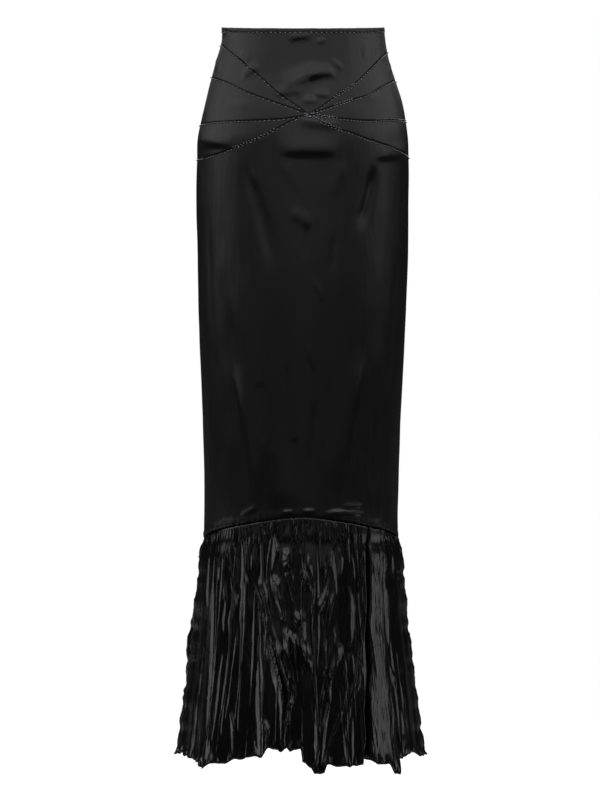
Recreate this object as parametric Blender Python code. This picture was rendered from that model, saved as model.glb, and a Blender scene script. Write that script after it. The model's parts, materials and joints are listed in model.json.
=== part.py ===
"""Maxi skirt: a long fitted satin column with a fan-seamed front yoke and a crushed-pleat flounce.

Metres, +Z up. The front faces -Y and +X is the wearer's left-hand side. The origin is the middle of
the waist opening, level with the waist edge at the side seams. Angles run round the skirt in
degrees: 0 is the middle of the front, +90 the side seam at +X, -90 the one at -X, 180 the back.
"""
import math

import bpy
import bmesh
import numpy as np

# ---------------------------------------------------------------- driving dimensions
CLOTH = 0.0012            # satin with its seam allowances, as one wall
SEAM_GAP = 0.0003         # space left between two pieces that are sewn together
BINDING_HEIGHT = 0.006    # folded satin strip round the waist
BINDING_SHOULDER = 0.0046  # that strip stands upright to here, and above it rounds over
BINDING_PROUD = 0.0006    # how far that strip stands out of the cloth on each side

WAIST_DIP_FRONT = 0.013   # the waist edge is lower at the front than at the side seams
WAIST_RISE_BACK = 0.010   # and higher at the back
HEM_Z = -1.090            # the flounce's lower edge
FLOUNCE_Z_FRONT = -0.730  # the arched seam that carries the flounce, at the middle of the front
FLOUNCE_Z_BACK = -0.744   # the same seam at the middle of the back
FLOUNCE_Z_SIDE = -0.767   # and at the side seams
ARCH_POWER = 0.70         # below 1 the arch is flat on top and drops near the side seams

FAN_ANGLE = 3.2           # the fan seams meet here, a little to the +X side of the middle
FAN_Z = -0.142
ANGLE_STEP = 5.0          # facets round the column
PLEAT_STEP = 3.0          # facets round the flounce
TIP_HEIGHT = 0.0011       # a wedge of the yoke ends where it has narrowed to this
MEAN_RADIUS = 0.130       # turns an angle into a length of cloth
TOP_ROWS, WEDGE_ROWS = 3, 2        # rows of facets down the yoke's top panel and each wedge
FRONT_ROWS, FLOUNCE_ROWS = 10, 5   # down the main front panel and the flounce
BACK_ROWS = 12                     # down the back panels
BACK_CROWDING = 1.6                # above 1 puts the back panels' rows closer together at the top

ZIP_ROWS = 5              # the zip reaches down this many rows of the back panels, about 0.19 m
ZIP_TAPE_WIDTH = 0.024
ZIP_TAPE_THICK = 0.0010
ZIP_HINGE_Z = -0.0012     # the pull tab's hinge line, just under the binding
PULL_LENGTH = 0.022
PULL_LEAN = 2.0           # degrees by which the hanging tab leans in from the slider's face

# Half-breadths of the cloth's outer face from the vertical axis: to -X, to +X, forward and back.
#            height  left    right   front   back
SECTIONS = [(0.012, 0.1207, 0.1222, 0.0890, 0.0930),
            (0.000, 0.1208, 0.1225, 0.0900, 0.0940),
            (-0.020, 0.1213, 0.1242, 0.0925, 0.0965),
            (-0.050, 0.1295, 0.1300, 0.0965, 0.1020),
            (-0.080, 0.1374, 0.1394, 0.1010, 0.1090),
            (-0.110, 0.1447, 0.1490, 0.1070, 0.1170),
            (-0.140, 0.1518, 0.1548, 0.1130, 0.1240),
            (-0.168, 0.1572, 0.1583, 0.1165, 0.1290),
            (-0.200, 0.1580, 0.1593, 0.1175, 0.1310),
            (-0.250, 0.1593, 0.1592, 0.1175, 0.1290),
            (-0.334, 0.1575, 0.1584, 0.1180, 0.1220),
            (-0.424, 0.1560, 0.1554, 0.1170, 0.1170),
            (-0.514, 0.1526, 0.1510, 0.1145, 0.1120),
            (-0.604, 0.1493, 0.1465, 0.1110, 0.1090),
            (-0.694, 0.1472, 0.1440, 0.1080, 0.1070),
            (-0.745, 0.1478, 0.1430, 0.1070, 0.1070),
            (-0.766, 0.1484, 0.1440, 0.1080, 0.1080),
            (-0.785, 0.1542, 0.1508, 0.1110, 0.1110),
            (-0.829, 0.1600, 0.1555, 0.1180, 0.1180),
            (-0.889, 0.1648, 0.1592, 0.1280, 0.1280),
            (-0.949, 0.1712, 0.1672, 0.1390, 0.1400),
            (-1.009, 0.1806, 0.1748, 0.1500, 0.1520),
            (-1.069, 0.1896, 0.1832, 0.1610, 0.1630),
            (-1.100, 0.1960, 0.1915, 0.1665, 0.1680)]

# The eight seams that fan out from the middle of the front to the side seams, each from left to
# right as rows of (angle, height).
FAN_SEAMS = {
    "left_1": [(-90, -0.027), (-75, -0.031), (-43, -0.059), (-26, -0.086), (-12, -0.114),
               (-1.4, -0.133), (FAN_ANGLE, FAN_Z)],
    "left_2": [(-90, -0.074), (-70, -0.081), (-47, -0.094), (-33, -0.108), (-23, -0.117),
               (-10, -0.129), (FAN_ANGLE, FAN_Z)],
    "left_3": [(-90, -0.148), (-53, -0.1485), (-24, -0.1495), (-10, -0.1480), (-3, -0.1455),
               (FAN_ANGLE, FAN_Z)],
    "left_4": [(-90, -0.199), (-60, -0.199), (-49, -0.195), (-38, -0.188), (-28, -0.180),
               (-19, -0.170), (-10, -0.157), (-3.6, -0.1485), (FAN_ANGLE, FAN_Z)],
    "right_1": [(FAN_ANGLE, FAN_Z), (9.6, -0.132), (18, -0.116), (30, -0.098), (43, -0.076),
                (78, -0.041), (90, -0.037)],
    "right_2": [(FAN_ANGLE, FAN_Z), (12, -0.134), (25, -0.122), (39, -0.111), (53, -0.097),
                (75, -0.084), (90, -0.081)],
    "right_3": [(FAN_ANGLE, FAN_Z), (19, -0.147), (37, -0.149), (54, -0.1455), (90, -0.143)],
    "right_4": [(FAN_ANGLE, FAN_Z), (9, -0.151), (15, -0.159), (26, -0.168), (36, -0.176),
                (51, -0.184), (67, -0.192), (90, -0.198)],
}

# Long soft troughs in the column. Each runs from its upper point to its lower one.
#          angle 0  height 0  angle 1  height 1  half-width  depth
DRAG_FOLDS = [(-31, -0.205, -15, -0.370, 0.013, 0.0026),
              (40, -0.205, 27, -0.420, 0.014, 0.0026),
              (-38, -0.520, -25, -0.700, 0.014, 0.0022),
              (31, -0.500, 22, -0.680, 0.014, 0.0022),
              (158, -0.240, 166, -0.520, 0.016, 0.0024),
              (-156, -0.260, -168, -0.560, 0.016, 0.0024)]

# The flounce's main folds: troughs that leave the seam at one angle and reach the hem at another.
# The depth is at the hem. The two tables cover the front half and the back half.
#              seam    hem    half-width  depth   (degrees, degrees, degrees, metres)
FRONT_TROUGHS = [(-80, -78, 5.0, 0.012),
                 (-66, -64, 4.5, 0.009),
                 (-55, -51, 5.0, 0.011),
                 (-42, -38, 4.0, 0.010),
                 (-31, -24, 4.5, 0.009),
                 (-19, -15, 5.0, 0.022),
                 (-9, -6, 4.5, 0.020),
                 (2, 3, 4.0, 0.010),
                 (12, 13, 4.5, 0.014),
                 (23, 23, 4.5, 0.012),
                 (38, 34, 4.5, 0.024),
                 (48, 45, 4.0, 0.008),
                 (60, 58, 5.0, 0.012),
                 (72, 71, 4.5, 0.010),
                 (82, 82, 4.0, 0.008)]
BACK_TROUGHS = [(98, 99, 5.0, 0.010),
                (109, 111, 4.5, 0.013),
                (121, 122, 5.0, 0.010),
                (134, 133, 5.0, 0.018),
                (146, 147, 4.5, 0.010),
                (157, 158, 4.5, 0.013),
                (168, 169, 5.0, 0.011),
                (181, 180, 5.0, 0.016),
                (193, 192, 4.5, 0.009),
                (203, 204, 5.0, 0.014),
                (215, 216, 5.0, 0.011),
                (226, 228, 4.5, 0.019),
                (238, 239, 5.0, 0.010),
                (250, 249, 4.5, 0.012),
                (261, 261, 4.5, 0.009)]


# ---------------------------------------------------------------- the skirt as a surface
def column_of(table, index):
    """One column of a table as an array."""
    return np.array([row[index] for row in table], dtype=float)


def smooth_read(x, xs, ys):
    """A smooth curve through rising points: cubic pieces whose slope at each point is the mean slope
    of its two neighbours."""
    x = np.clip(np.asarray(x, dtype=float), xs[0], xs[-1])
    slope = np.gradient(ys, xs)
    i = np.clip(np.searchsorted(xs, x) - 1, 0, len(xs) - 2)
    width = xs[i + 1] - xs[i]
    t = (x - xs[i]) / width
    return ((1 + 2 * t) * (1 - t) ** 2 * ys[i] + t ** 2 * (3 - 2 * t) * ys[i + 1]
            + width * t * (1 - t) * ((1 - t) * slope[i] - t * slope[i + 1]))


def half_breadths(z):
    """Left, right, front and back half-breadths of the smooth body at a height."""
    heights = column_of(SECTIONS, 0)[::-1]
    return [smooth_read(z, heights, column_of(SECTIONS, k)[::-1]) for k in range(1, 5)]


def waist_z(angle):
    """Height of the waist edge: a tilted opening, low in front and high behind."""
    c = np.cos(np.radians(angle))
    return np.where(c > 0, -WAIST_DIP_FRONT * c, -WAIST_RISE_BACK * c)


def flounce_z(angle):
    """Height of the arched seam that carries the flounce."""
    c = np.abs(np.cos(np.radians(angle)))
    top = np.where(np.cos(np.radians(angle)) > 0, FLOUNCE_Z_FRONT, FLOUNCE_Z_BACK)
    return top + (FLOUNCE_Z_SIDE - top) * (1 - c) ** ARCH_POWER


def fan_z(seam):
    """Height along one of the fan seams, as a function of the angle."""
    rows = FAN_SEAMS[seam]
    return lambda angle: np.interp(angle, column_of(rows, 0), column_of(rows, 1))


def drag_depth(angle, z):
    """How far the long soft troughs push the column's cloth in."""
    depth = np.zeros_like(z)
    for a0, z0, a1, z1, half_width, deep in DRAG_FOLDS:
        along = np.clip((z - z0) / (z1 - z0), 0, 1)
        across = np.radians(angle - (a0 + (a1 - a0) * along)) * MEAN_RADIUS / half_width
        inside = (z < z0) & (z > z1)
        depth += np.where(inside, deep * np.sin(math.pi * along) * np.exp(-across ** 2), 0)
    return depth


def pleat_depth(angle, z, troughs):
    """How far the flounce's folds push its cloth in: nothing at the seam, the full depth at the hem."""
    seam = flounce_z(angle)
    down = np.clip((seam - z) / (seam - HEM_Z), 0, 1)
    depth = np.zeros_like(down)
    for seam_angle, hem_angle, half_width, deep in troughs:
        across = (angle - (seam_angle + (hem_angle - seam_angle) * down)) / half_width
        depth = np.maximum(depth, deep * down ** 0.8 * np.exp(-across ** 2))
    return depth


def skirt_points(angle, z, inward=0.0):
    """Points on the cloth's outer face: an ellipse at each height with a half-breadth of its own
    in each of the four directions, less what the folds push in."""
    left, right, front, back = half_breadths(z)
    a = np.radians(angle)
    sine, cosine = np.sin(a), np.cos(a)
    across = np.where(sine > 0, right, left) - inward
    deep = np.where(cosine > 0, front, back) - inward
    return np.stack([across * sine, -deep * cosine, z], axis=-1)


# ---------------------------------------------------------------- making solids
def satin(name, colour, roughness, metallic=0.0):
    """A Principled material."""
    material = bpy.data.materials.new(name)
    material.use_nodes = True
    shader = material.node_tree.nodes["Principled BSDF"]
    shader.inputs["Base Color"].default_value = (*colour, 1.0)
    shader.inputs["Roughness"].default_value = roughness
    shader.inputs["Metallic"].default_value = metallic
    return material


def new_object(name, mesh, material):
    """Put a mesh in the scene under its name, with its own material."""
    obj = bpy.data.objects.new(name, mesh)
    bpy.context.scene.collection.objects.link(obj)
    mesh.materials.append(material)
    mesh.shade_smooth()
    mesh.set_sharp_from_angle(angle=math.radians(40))
    return obj


def grid_normals(points, closed):
    """Outward normals of a grid of points (rows down the cloth, columns round it)."""
    if closed:
        wrapped = np.concatenate([points[:, -1:], points, points[:, :1]], axis=1)
        round_way = (wrapped[:, 2:] - wrapped[:, :-2])
    else:
        round_way = np.gradient(points, axis=1)
    down_way = np.gradient(points, axis=0)
    normals = np.cross(down_way, round_way)
    return normals / np.linalg.norm(normals, axis=-1, keepdims=True)


def wall(name, outer, material, thickness=CLOTH, closed=False, edge_angles=None):
    """A closed wall: the grid of outer points, a copy moved in along its normals, and the rims.
    At the two side edges, whose angles are given, the copy moves straight in, so that the rim faces
    the next piece squarely."""
    normals = grid_normals(outer, closed)
    for column, angle in zip((0, -1), edge_angles or ()):
        along = np.array([math.cos(math.radians(angle)), math.sin(math.radians(angle)), 0.0])
        edge = normals[:, column]
        edge = edge - (edge @ along)[:, None] * along
        normals[:, column] = edge / np.linalg.norm(edge, axis=-1, keepdims=True)
    inner = outer - normals * thickness
    rows, columns = outer.shape[:2]
    vertices = np.concatenate([outer.reshape(-1, 3), inner.reshape(-1, 3)])
    count = rows * columns

    def number(r, c, side):
        return side * count + r * columns + c % columns

    faces = []
    spans = columns if closed else columns - 1
    for r in range(rows - 1):
        for c in range(spans):
            quad = [(r, c), (r + 1, c), (r + 1, c + 1), (r, c + 1)]
            faces.append([number(i, j, 0) for i, j in quad])
            faces.append([number(i, j, 1) for i, j in reversed(quad)])
    for c in range(spans):
        faces.append([number(0, c, 0), number(0, c + 1, 0), number(0, c + 1, 1), number(0, c, 1)])
        faces.append([number(rows - 1, c + 1, 0), number(rows - 1, c, 0),
                      number(rows - 1, c, 1), number(rows - 1, c + 1, 1)])
    if not closed:
        end = columns - 1
        for r in range(rows - 1):
            faces.append([number(r + 1, 0, 0), number(r, 0, 0), number(r, 0, 1), number(r + 1, 0, 1)])
            faces.append([number(r, end, 0), number(r + 1, end, 0),
                          number(r + 1, end, 1), number(r, end, 1)])
    mesh = bpy.data.meshes.new(name)
    mesh.from_pydata(vertices.tolist(), [], faces)
    return new_object(name, mesh, material)


def angles_between(first, last, step):
    """The common facet angles between two angles, with the two ends themselves."""
    inside = np.arange(math.ceil(first / step) * step, last, step)
    inside = inside[(inside > first + 0.2 * step) & (inside < last - 0.2 * step)]
    return np.concatenate([[first], inside, [last]])


def row_heights(angles, upper, lower, rows, crowding):
    """Heights of a panel's rows at each angle, from the upper seam to the lower one. The half gap
    is measured square to each seam, so on a slanting seam it takes more of the height."""
    lengths = np.radians(angles) * MEAN_RADIUS
    top = upper - SEAM_GAP / 2 * np.hypot(1, np.gradient(upper, lengths))
    bottom = lower + SEAM_GAP / 2 * np.hypot(1, np.gradient(lower, lengths))
    down = np.linspace(0, 1, rows + 1)[:, None] ** crowding
    return top * (1 - down) + bottom * down


def panel(name, angles, upper, lower, rows, material, folds=None, crowding=1.0):
    """A cloth panel between two seam lines. Each column of points runs down from the upper seam to
    the lower one, half a seam gap short of both, and the panel stops as short of its side seams.
    Crowding above 1 puts its rows closer together at the top."""
    side_inset = math.degrees(SEAM_GAP / 2 / MEAN_RADIUS)
    angles = angles.copy()
    angles[0] += side_inset
    angles[-1] -= side_inset
    z = row_heights(angles, upper(angles), lower(angles), rows, crowding)
    round_angles = np.broadcast_to(angles, z.shape)
    inward = folds(round_angles, z) if folds else 0.0
    return wall(name, skirt_points(round_angles, z, inward), material,
                edge_angles=(angles[0], angles[-1]))


def tip_angle(upper, lower, side):
    """The angle, from the side seam towards the fan's middle, at which a wedge gets too narrow."""
    angles = np.linspace(side, FAN_ANGLE, 2000)
    wide = (upper(angles) - lower(angles)) > TIP_HEIGHT + SEAM_GAP
    return float(angles[wide][-1])


# ---------------------------------------------------------------- the pieces
def below_binding(angle):
    """Where the panels stop and the binding starts."""
    return waist_z(angle) - BINDING_HEIGHT


def make_binding(material):
    """The folded strip that finishes the waist: an upright band, rounded over at its top edge."""
    angles = np.arange(-180, 180, ANGLE_STEP)
    lift = np.array([SEAM_GAP / 2, BINDING_SHOULDER, BINDING_HEIGHT])
    proud = np.array([BINDING_PROUD, BINDING_PROUD, BINDING_PROUD / 2])
    z = (below_binding(angles)[None, :] + lift[::-1, None])
    points = skirt_points(np.broadcast_to(angles, z.shape), z, -proud[::-1, None])
    return wall("waist_binding", points, material, CLOTH + 2 * BINDING_PROUD, closed=True)


def make_yoke(material):
    """Top panel and six wedges, between neighbouring seams of the fan."""
    left_1, right_1 = fan_z("left_1"), fan_z("right_1")

    def under_top(angle):
        return np.where(angle < FAN_ANGLE, left_1(angle), right_1(angle))

    round_front = angles_between(-90, 90, ANGLE_STEP)
    round_front = np.sort(np.append(round_front, FAN_ANGLE))
    panel("front_top_panel", round_front, below_binding, under_top, TOP_ROWS, material)

    for side, edge in (("left", -90.0), ("right", 90.0)):
        for number, level in enumerate(("upper", "middle", "lower"), start=1):
            upper = fan_z(f"{side}_{number}")
            lower = fan_z(f"{side}_{number + 1}")
            tip = tip_angle(upper, lower, edge)
            angles = angles_between(min(edge, tip), max(edge, tip), ANGLE_STEP)
            panel(f"front_{level}_{side}", angles, upper, lower, WEDGE_ROWS, material)


def make_column(material):
    """The long front panel under the fan, and the two back panels beside the zip."""
    left_4, right_4 = fan_z("left_4"), fan_z("right_4")

    def under_fan(angle):
        return np.where(angle < FAN_ANGLE, left_4(angle), right_4(angle))

    round_front = angles_between(-90, 90, ANGLE_STEP)
    round_front = np.sort(np.append(round_front, FAN_ANGLE))
    panel("front_skirt", round_front, under_fan, flounce_z, FRONT_ROWS, material, drag_depth)
    for name, first, last in (("back_right", 90, 180), ("back_left", -180, -90)):
        panel(name, angles_between(first, last, ANGLE_STEP), below_binding, flounce_z, BACK_ROWS,
              material, drag_depth, BACK_CROWDING)


def make_flounce(material):
    """Front and back of the flounce, gathered on to the arched seam and folded down to the hem."""
    def hem(angle):
        return np.full_like(angle, HEM_Z - SEAM_GAP / 2)

    halves = (("flounce_front", -90, 90, FRONT_TROUGHS), ("flounce_back", 90, 270, BACK_TROUGHS))
    for name, first, last, troughs in halves:
        def folds(angle, z, troughs=troughs):
            return pleat_depth(angle, z, troughs)
        panel(name, angles_between(first, last, PLEAT_STEP), flounce_z, hem, FLOUNCE_ROWS, material,
              folds)


def back_facets():
    """The back panels' own points on either side of their middle seam: rows down, three columns."""
    angles = np.array([180 - ANGLE_STEP, 180, 180 + ANGLE_STEP])
    z = row_heights(angles, below_binding(angles), flounce_z(angles), BACK_ROWS, BACK_CROWDING)
    round_angles = np.broadcast_to(angles, z.shape)
    return skirt_points(round_angles, z, drag_depth(round_angles, z))


def back_frame(z):
    """Where the middle of the back is at a height near the top, and how far the cloth there leans,
    as the angle by which a piece turns about +X to lie along it."""
    upper, lower = back_facets()[:2, 1]
    share = (upper[2] - z) / (upper[2] - lower[2])
    deep = upper[1] + (lower[1] - upper[1]) * share
    return float(deep), math.atan2(lower[1] - upper[1], upper[2] - lower[2])


def make_zip_tape(material):
    """The concealed zip's tape, flat behind the middle seam of the back, made from the back
    panels' points moved in."""
    points = back_facets()[:ZIP_ROWS + 1]
    middle = points[:, 1:2]
    side = np.linalg.norm(points[:, ::2] - middle, axis=-1, keepdims=True)
    edges = middle + (points[:, ::2] - middle) * (ZIP_TAPE_WIDTH / 2) / side
    outer = np.concatenate([edges[:, :1], middle, edges[:, 1:]], axis=1)
    outer = outer - grid_normals(outer, False) * (CLOTH + SEAM_GAP)
    wall("zip_tape", outer, material, ZIP_TAPE_THICK)


def box_into(mesh, low, high):
    """Add a box to a bmesh."""
    middle = [(a + b) / 2 for a, b in zip(low, high)]
    made = bmesh.ops.create_cube(mesh, size=1.0)["verts"]
    bmesh.ops.scale(mesh, vec=[b - a for a, b in zip(low, high)], verts=made)
    bmesh.ops.translate(mesh, vec=middle, verts=made)


def make_zip_slider(material, hinge, lean):
    """The slider's face outside the seam: a small plate with a bridge that holds the pull's bar.
    Its own axes: X across, Y out of the cloth, Z up along it, and its origin on the hinge line."""
    plate_half, plate_long, plate_face, plate_back = 0.0025, 0.0040, -0.0010, -0.0020
    bridge_half, leg_in, leg_out, bar_in, bar_out = 0.0007, 0.0017, 0.0026, 0.0010, 0.0019
    sunk = 0.0004

    plate = bmesh.new()
    box_into(plate, (-plate_half, plate_back, -plate_long), (plate_half, plate_face, plate_long))
    bmesh.ops.bevel(plate, geom=[e for e in plate.edges if abs(e.verts[0].co.y - e.verts[1].co.y) > 1e-6],
                    offset=0.0012, segments=3, affect="EDGES", profile=0.5)
    plate_mesh = bpy.data.meshes.new("zip_slider")
    plate.to_mesh(plate_mesh)
    slider = new_object("zip_slider", plate_mesh, material)

    # the bridge's side view, a staple, pushed sideways to its width
    staple = [(plate_face - sunk, -leg_out), (bar_out - 0.0005, -leg_out), (bar_out, -leg_out + 0.0005),
              (bar_out, leg_out - 0.0005), (bar_out - 0.0005, leg_out), (plate_face - sunk, leg_out),
              (plate_face - sunk, leg_in), (bar_in, leg_in), (bar_in, -leg_in),
              (plate_face - sunk, -leg_in)]
    bridge = bmesh.new()
    ring = [bridge.verts.new((-bridge_half, y, z)) for y, z in staple]
    face = bridge.faces.new(ring)
    pushed = bmesh.ops.extrude_face_region(bridge, geom=[face])["geom"]
    bmesh.ops.translate(bridge, vec=(2 * bridge_half, 0, 0),
                        verts=[v for v in pushed if isinstance(v, bmesh.types.BMVert)])
    bmesh.ops.recalc_face_normals(bridge, faces=bridge.faces)
    bridge_mesh = bpy.data.meshes.new("zip_bridge_cutter")
    bridge.to_mesh(bridge_mesh)
    guide = bpy.data.objects.new("zip_bridge_cutter", bridge_mesh)
    bpy.context.scene.collection.objects.link(guide)
    guide.hide_render = True
    guide.display_type = "WIRE"

    join = slider.modifiers.new("bridge", "BOOLEAN")
    join.operation = "UNION"
    join.object = guide
    for obj in (slider, guide):
        obj.location = hinge
        obj.rotation_euler = (lean, 0, 0)


def make_zip_pull(material, hinge, lean):
    """The pull tab: a bar held under the slider's bridge, two arms, and a long drop-shaped tab.
    It turns about its bar, where its origin is."""
    bar, arm_in, arm_out, thick = 0.0005, 0.0012, 0.0021, 0.0005
    eye_end = -0.0042
    tab_half, tab_round = 0.0026, 0.0026
    end = -PULL_LENGTH

    mesh = bmesh.new()

    def vertex(x, z):
        return mesh.verts.new((x, -thick, z))

    rows = [[vertex(x, z) for x in (-arm_out, -arm_in, arm_in, arm_out)] for z in (bar, -bar, eye_end)]
    for c in range(3):
        mesh.faces.new([rows[0][c], rows[1][c], rows[1][c + 1], rows[0][c + 1]])
    for c in (0, 2):
        mesh.faces.new([rows[1][c], rows[2][c], rows[2][c + 1], rows[1][c + 1]])
    # below the eye the tab widens to its round end
    turns = np.linspace(0, math.pi, 9)
    centre = end + tab_round
    outline = [(-tab_half * math.cos(t), centre - tab_round * math.sin(t)) for t in turns]
    tab = rows[2] + [vertex(x, z) for x, z in reversed(outline)]
    mesh.faces.new(tab)
    made = bmesh.ops.extrude_face_region(mesh, geom=list(mesh.faces))["geom"]
    bmesh.ops.translate(mesh, vec=(0, 2 * thick, 0),
                        verts=[v for v in made if isinstance(v, bmesh.types.BMVert)])
    bmesh.ops.recalc_face_normals(mesh, faces=mesh.faces)
    data = bpy.data.meshes.new("zip_pull")
    mesh.to_mesh(data)
    pull = new_object("zip_pull", data, material)
    pull.location = hinge
    pull.rotation_euler = (lean, 0, 0)


def make_zip():
    """Tape, slider and pull of the concealed zip at the middle of the back."""
    tape = satin("zip_tape", (0.012, 0.012, 0.014), 0.8)
    metal = satin("black_enamelled_metal", (0.020, 0.020, 0.022), 0.35, 0.6)
    deep, lean = back_frame(ZIP_HINGE_Z)
    # the hinge line stands off the cloth by the gap, the plate and the bar's room under the bridge
    stand_off = SEAM_GAP + 0.0020
    hinge = (0.0, deep + stand_off * math.cos(lean), ZIP_HINGE_Z + stand_off * math.sin(lean))
    make_zip_tape(tape)
    make_zip_slider(metal, hinge, lean)
    # the tab leans in a little more than the slider, so that its end rests against the cloth
    make_zip_pull(metal.copy(), hinge, lean - math.radians(PULL_LEAN))


def clear_scene():
    """Start from an empty scene."""
    for obj in list(bpy.data.objects):
        bpy.data.objects.remove(obj, do_unlink=True)


def main():
    clear_scene()
    make_binding(satin("satin_binding", (0.030, 0.030, 0.034), 0.35))
    make_yoke(satin("satin_yoke", (0.028, 0.028, 0.032), 0.35))
    make_column(satin("satin_column", (0.022, 0.022, 0.024), 0.35))
    make_flounce(satin("satin_flounce", (0.022, 0.022, 0.024), 0.30))
    make_zip()


main()
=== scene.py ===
# %% [markdown]
# # A black satin maxi skirt, filled out as if worn
#
# The skirt has a fan-seamed yoke with beads along its seams, a long plain column, and a flounce of
# crushed, permanently pleated satin on an arched seam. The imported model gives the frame: every
# piece below lies on the same body shape, and adds the cloth's creases, seams, beads and finish.

# %% Modules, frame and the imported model's box
import json
import math

import bmesh
import bpy
import numpy as np
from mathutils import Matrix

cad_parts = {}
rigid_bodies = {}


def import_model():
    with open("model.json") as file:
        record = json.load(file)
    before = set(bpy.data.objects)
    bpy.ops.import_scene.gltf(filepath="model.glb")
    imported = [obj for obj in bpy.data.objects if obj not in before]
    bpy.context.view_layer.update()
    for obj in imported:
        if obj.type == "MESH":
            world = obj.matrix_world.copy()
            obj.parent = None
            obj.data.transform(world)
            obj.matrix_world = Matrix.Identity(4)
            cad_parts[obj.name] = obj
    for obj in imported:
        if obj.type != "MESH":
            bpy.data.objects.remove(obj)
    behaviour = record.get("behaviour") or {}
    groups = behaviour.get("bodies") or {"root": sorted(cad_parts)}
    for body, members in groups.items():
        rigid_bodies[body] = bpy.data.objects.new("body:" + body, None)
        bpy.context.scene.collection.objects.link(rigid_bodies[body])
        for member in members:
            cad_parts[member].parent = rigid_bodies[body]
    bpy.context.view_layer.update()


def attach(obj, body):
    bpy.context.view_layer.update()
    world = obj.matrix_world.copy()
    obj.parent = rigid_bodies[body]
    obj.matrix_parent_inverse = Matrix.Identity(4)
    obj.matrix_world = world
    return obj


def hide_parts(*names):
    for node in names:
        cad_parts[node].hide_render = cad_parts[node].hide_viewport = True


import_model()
MM = 0.001
BODY = "skirt"

# %% [markdown]
# ## The body under the cloth
#
# Satin cut this close shows the shape of a general figure. At each height the cloth's outline is an
# ellipse with its own half-breadth to the left, right, front and back, so one short table of
# sections describes the whole skirt. A smooth curve through the rows keeps the highlights smooth,
# because a glossy cloth shows every kink in the shape below it.

# %% Sizes of the body, in metres
#            height  left    right   front   back
SECTIONS = [(0.012, 0.1207, 0.1222, 0.0890, 0.0930),
            (0.000, 0.1208, 0.1225, 0.0900, 0.0940),
            (-0.020, 0.1213, 0.1242, 0.0925, 0.0965),
            (-0.050, 0.1295, 0.1300, 0.0965, 0.1020),
            (-0.080, 0.1374, 0.1394, 0.1010, 0.1090),
            (-0.110, 0.1447, 0.1490, 0.1070, 0.1170),
            (-0.140, 0.1518, 0.1548, 0.1130, 0.1240),
            (-0.168, 0.1572, 0.1583, 0.1165, 0.1290),
            (-0.200, 0.1580, 0.1593, 0.1175, 0.1310),
            (-0.250, 0.1593, 0.1592, 0.1175, 0.1290),
            (-0.334, 0.1575, 0.1584, 0.1180, 0.1220),
            (-0.424, 0.1560, 0.1554, 0.1170, 0.1170),
            (-0.514, 0.1526, 0.1510, 0.1145, 0.1120),
            (-0.604, 0.1493, 0.1465, 0.1110, 0.1090),
            (-0.694, 0.1472, 0.1440, 0.1080, 0.1070),
            (-0.745, 0.1478, 0.1430, 0.1070, 0.1070),
            (-0.766, 0.1484, 0.1440, 0.1080, 0.1080),
            (-0.785, 0.1542, 0.1508, 0.1110, 0.1110),
            (-0.829, 0.1600, 0.1555, 0.1180, 0.1180),
            (-0.889, 0.1648, 0.1592, 0.1280, 0.1280),
            (-0.949, 0.1712, 0.1672, 0.1390, 0.1400),
            (-1.009, 0.1806, 0.1748, 0.1500, 0.1520),
            (-1.069, 0.1896, 0.1832, 0.1610, 0.1630),
            (-1.100, 0.1960, 0.1915, 0.1665, 0.1680)]
BINDING_HEIGHT = 0.006
WAIST_DIP_FRONT, WAIST_RISE_BACK = 0.013, 0.010
HEM_Z = -1.090
FLOUNCE_Z_FRONT, FLOUNCE_Z_BACK, FLOUNCE_Z_SIDE = -0.730, -0.744, -0.767
ARCH_POWER = 0.70
FAN_ANGLE, FAN_Z = 3.2, -0.142
MM_PER_DEGREE = 2.4       # cloth round the skirt for each degree of angle
print("body:", len(SECTIONS), "sections, waist to hem", round(-HEM_Z, 3), "m")

# %% A point on the cloth from its angle and height
def column_of(table, index):
    """One column of a table as an array."""
    return np.array([row[index] for row in table], dtype=float)


def smooth_read(x, xs, ys):
    """A smooth curve through rising points: cubic pieces whose slope at each point is the mean
    slope of its two neighbours."""
    x = np.clip(np.asarray(x, dtype=float), xs[0], xs[-1])
    slope = np.gradient(ys, xs)
    i = np.clip(np.searchsorted(xs, x) - 1, 0, len(xs) - 2)
    width = xs[i + 1] - xs[i]
    t = (x - xs[i]) / width
    return ((1 + 2 * t) * (1 - t) ** 2 * ys[i] + t ** 2 * (3 - 2 * t) * ys[i + 1]
            + width * t * (1 - t) * ((1 - t) * slope[i] - t * slope[i + 1]))


def half_breadths(z):
    """Left, right, front and back half-breadths of the body at a height."""
    heights = column_of(SECTIONS, 0)[::-1]
    return [smooth_read(z, heights, column_of(SECTIONS, k)[::-1]) for k in range(1, 5)]


def quarter(angle, z):
    """The ellipse of the quarter that an angle lies in: its half-breadth across and in depth, with
    the angle's sine and cosine."""
    left, right, front, back = half_breadths(z)
    a = np.radians(angle)
    sine, cosine = np.sin(a), np.cos(a)
    return np.where(sine > 0, right, left), np.where(cosine > 0, front, back), sine, cosine


def skirt_points(angle, z, out=0.0):
    """Points on the cloth. Angle 0 is the middle of the front and +90 the side seam at +X. Across
    is half-breadth times sine, depth is half-breadth times cosine, and `out` adds to both."""
    across, deep, sine, cosine = quarter(angle, z)
    across, deep = across + out, deep + out
    return np.stack([across * sine, -deep * cosine, z + 0 * across], axis=-1)


def waist_z(angle):
    """Height of the waist edge: low in front, high behind, and 0 at the side seams."""
    c = np.cos(np.radians(angle))
    return np.where(c > 0, -WAIST_DIP_FRONT * c, -WAIST_RISE_BACK * c)


def below_binding(angle):
    """Height of the binding's lower edge."""
    return waist_z(angle) - BINDING_HEIGHT


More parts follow.
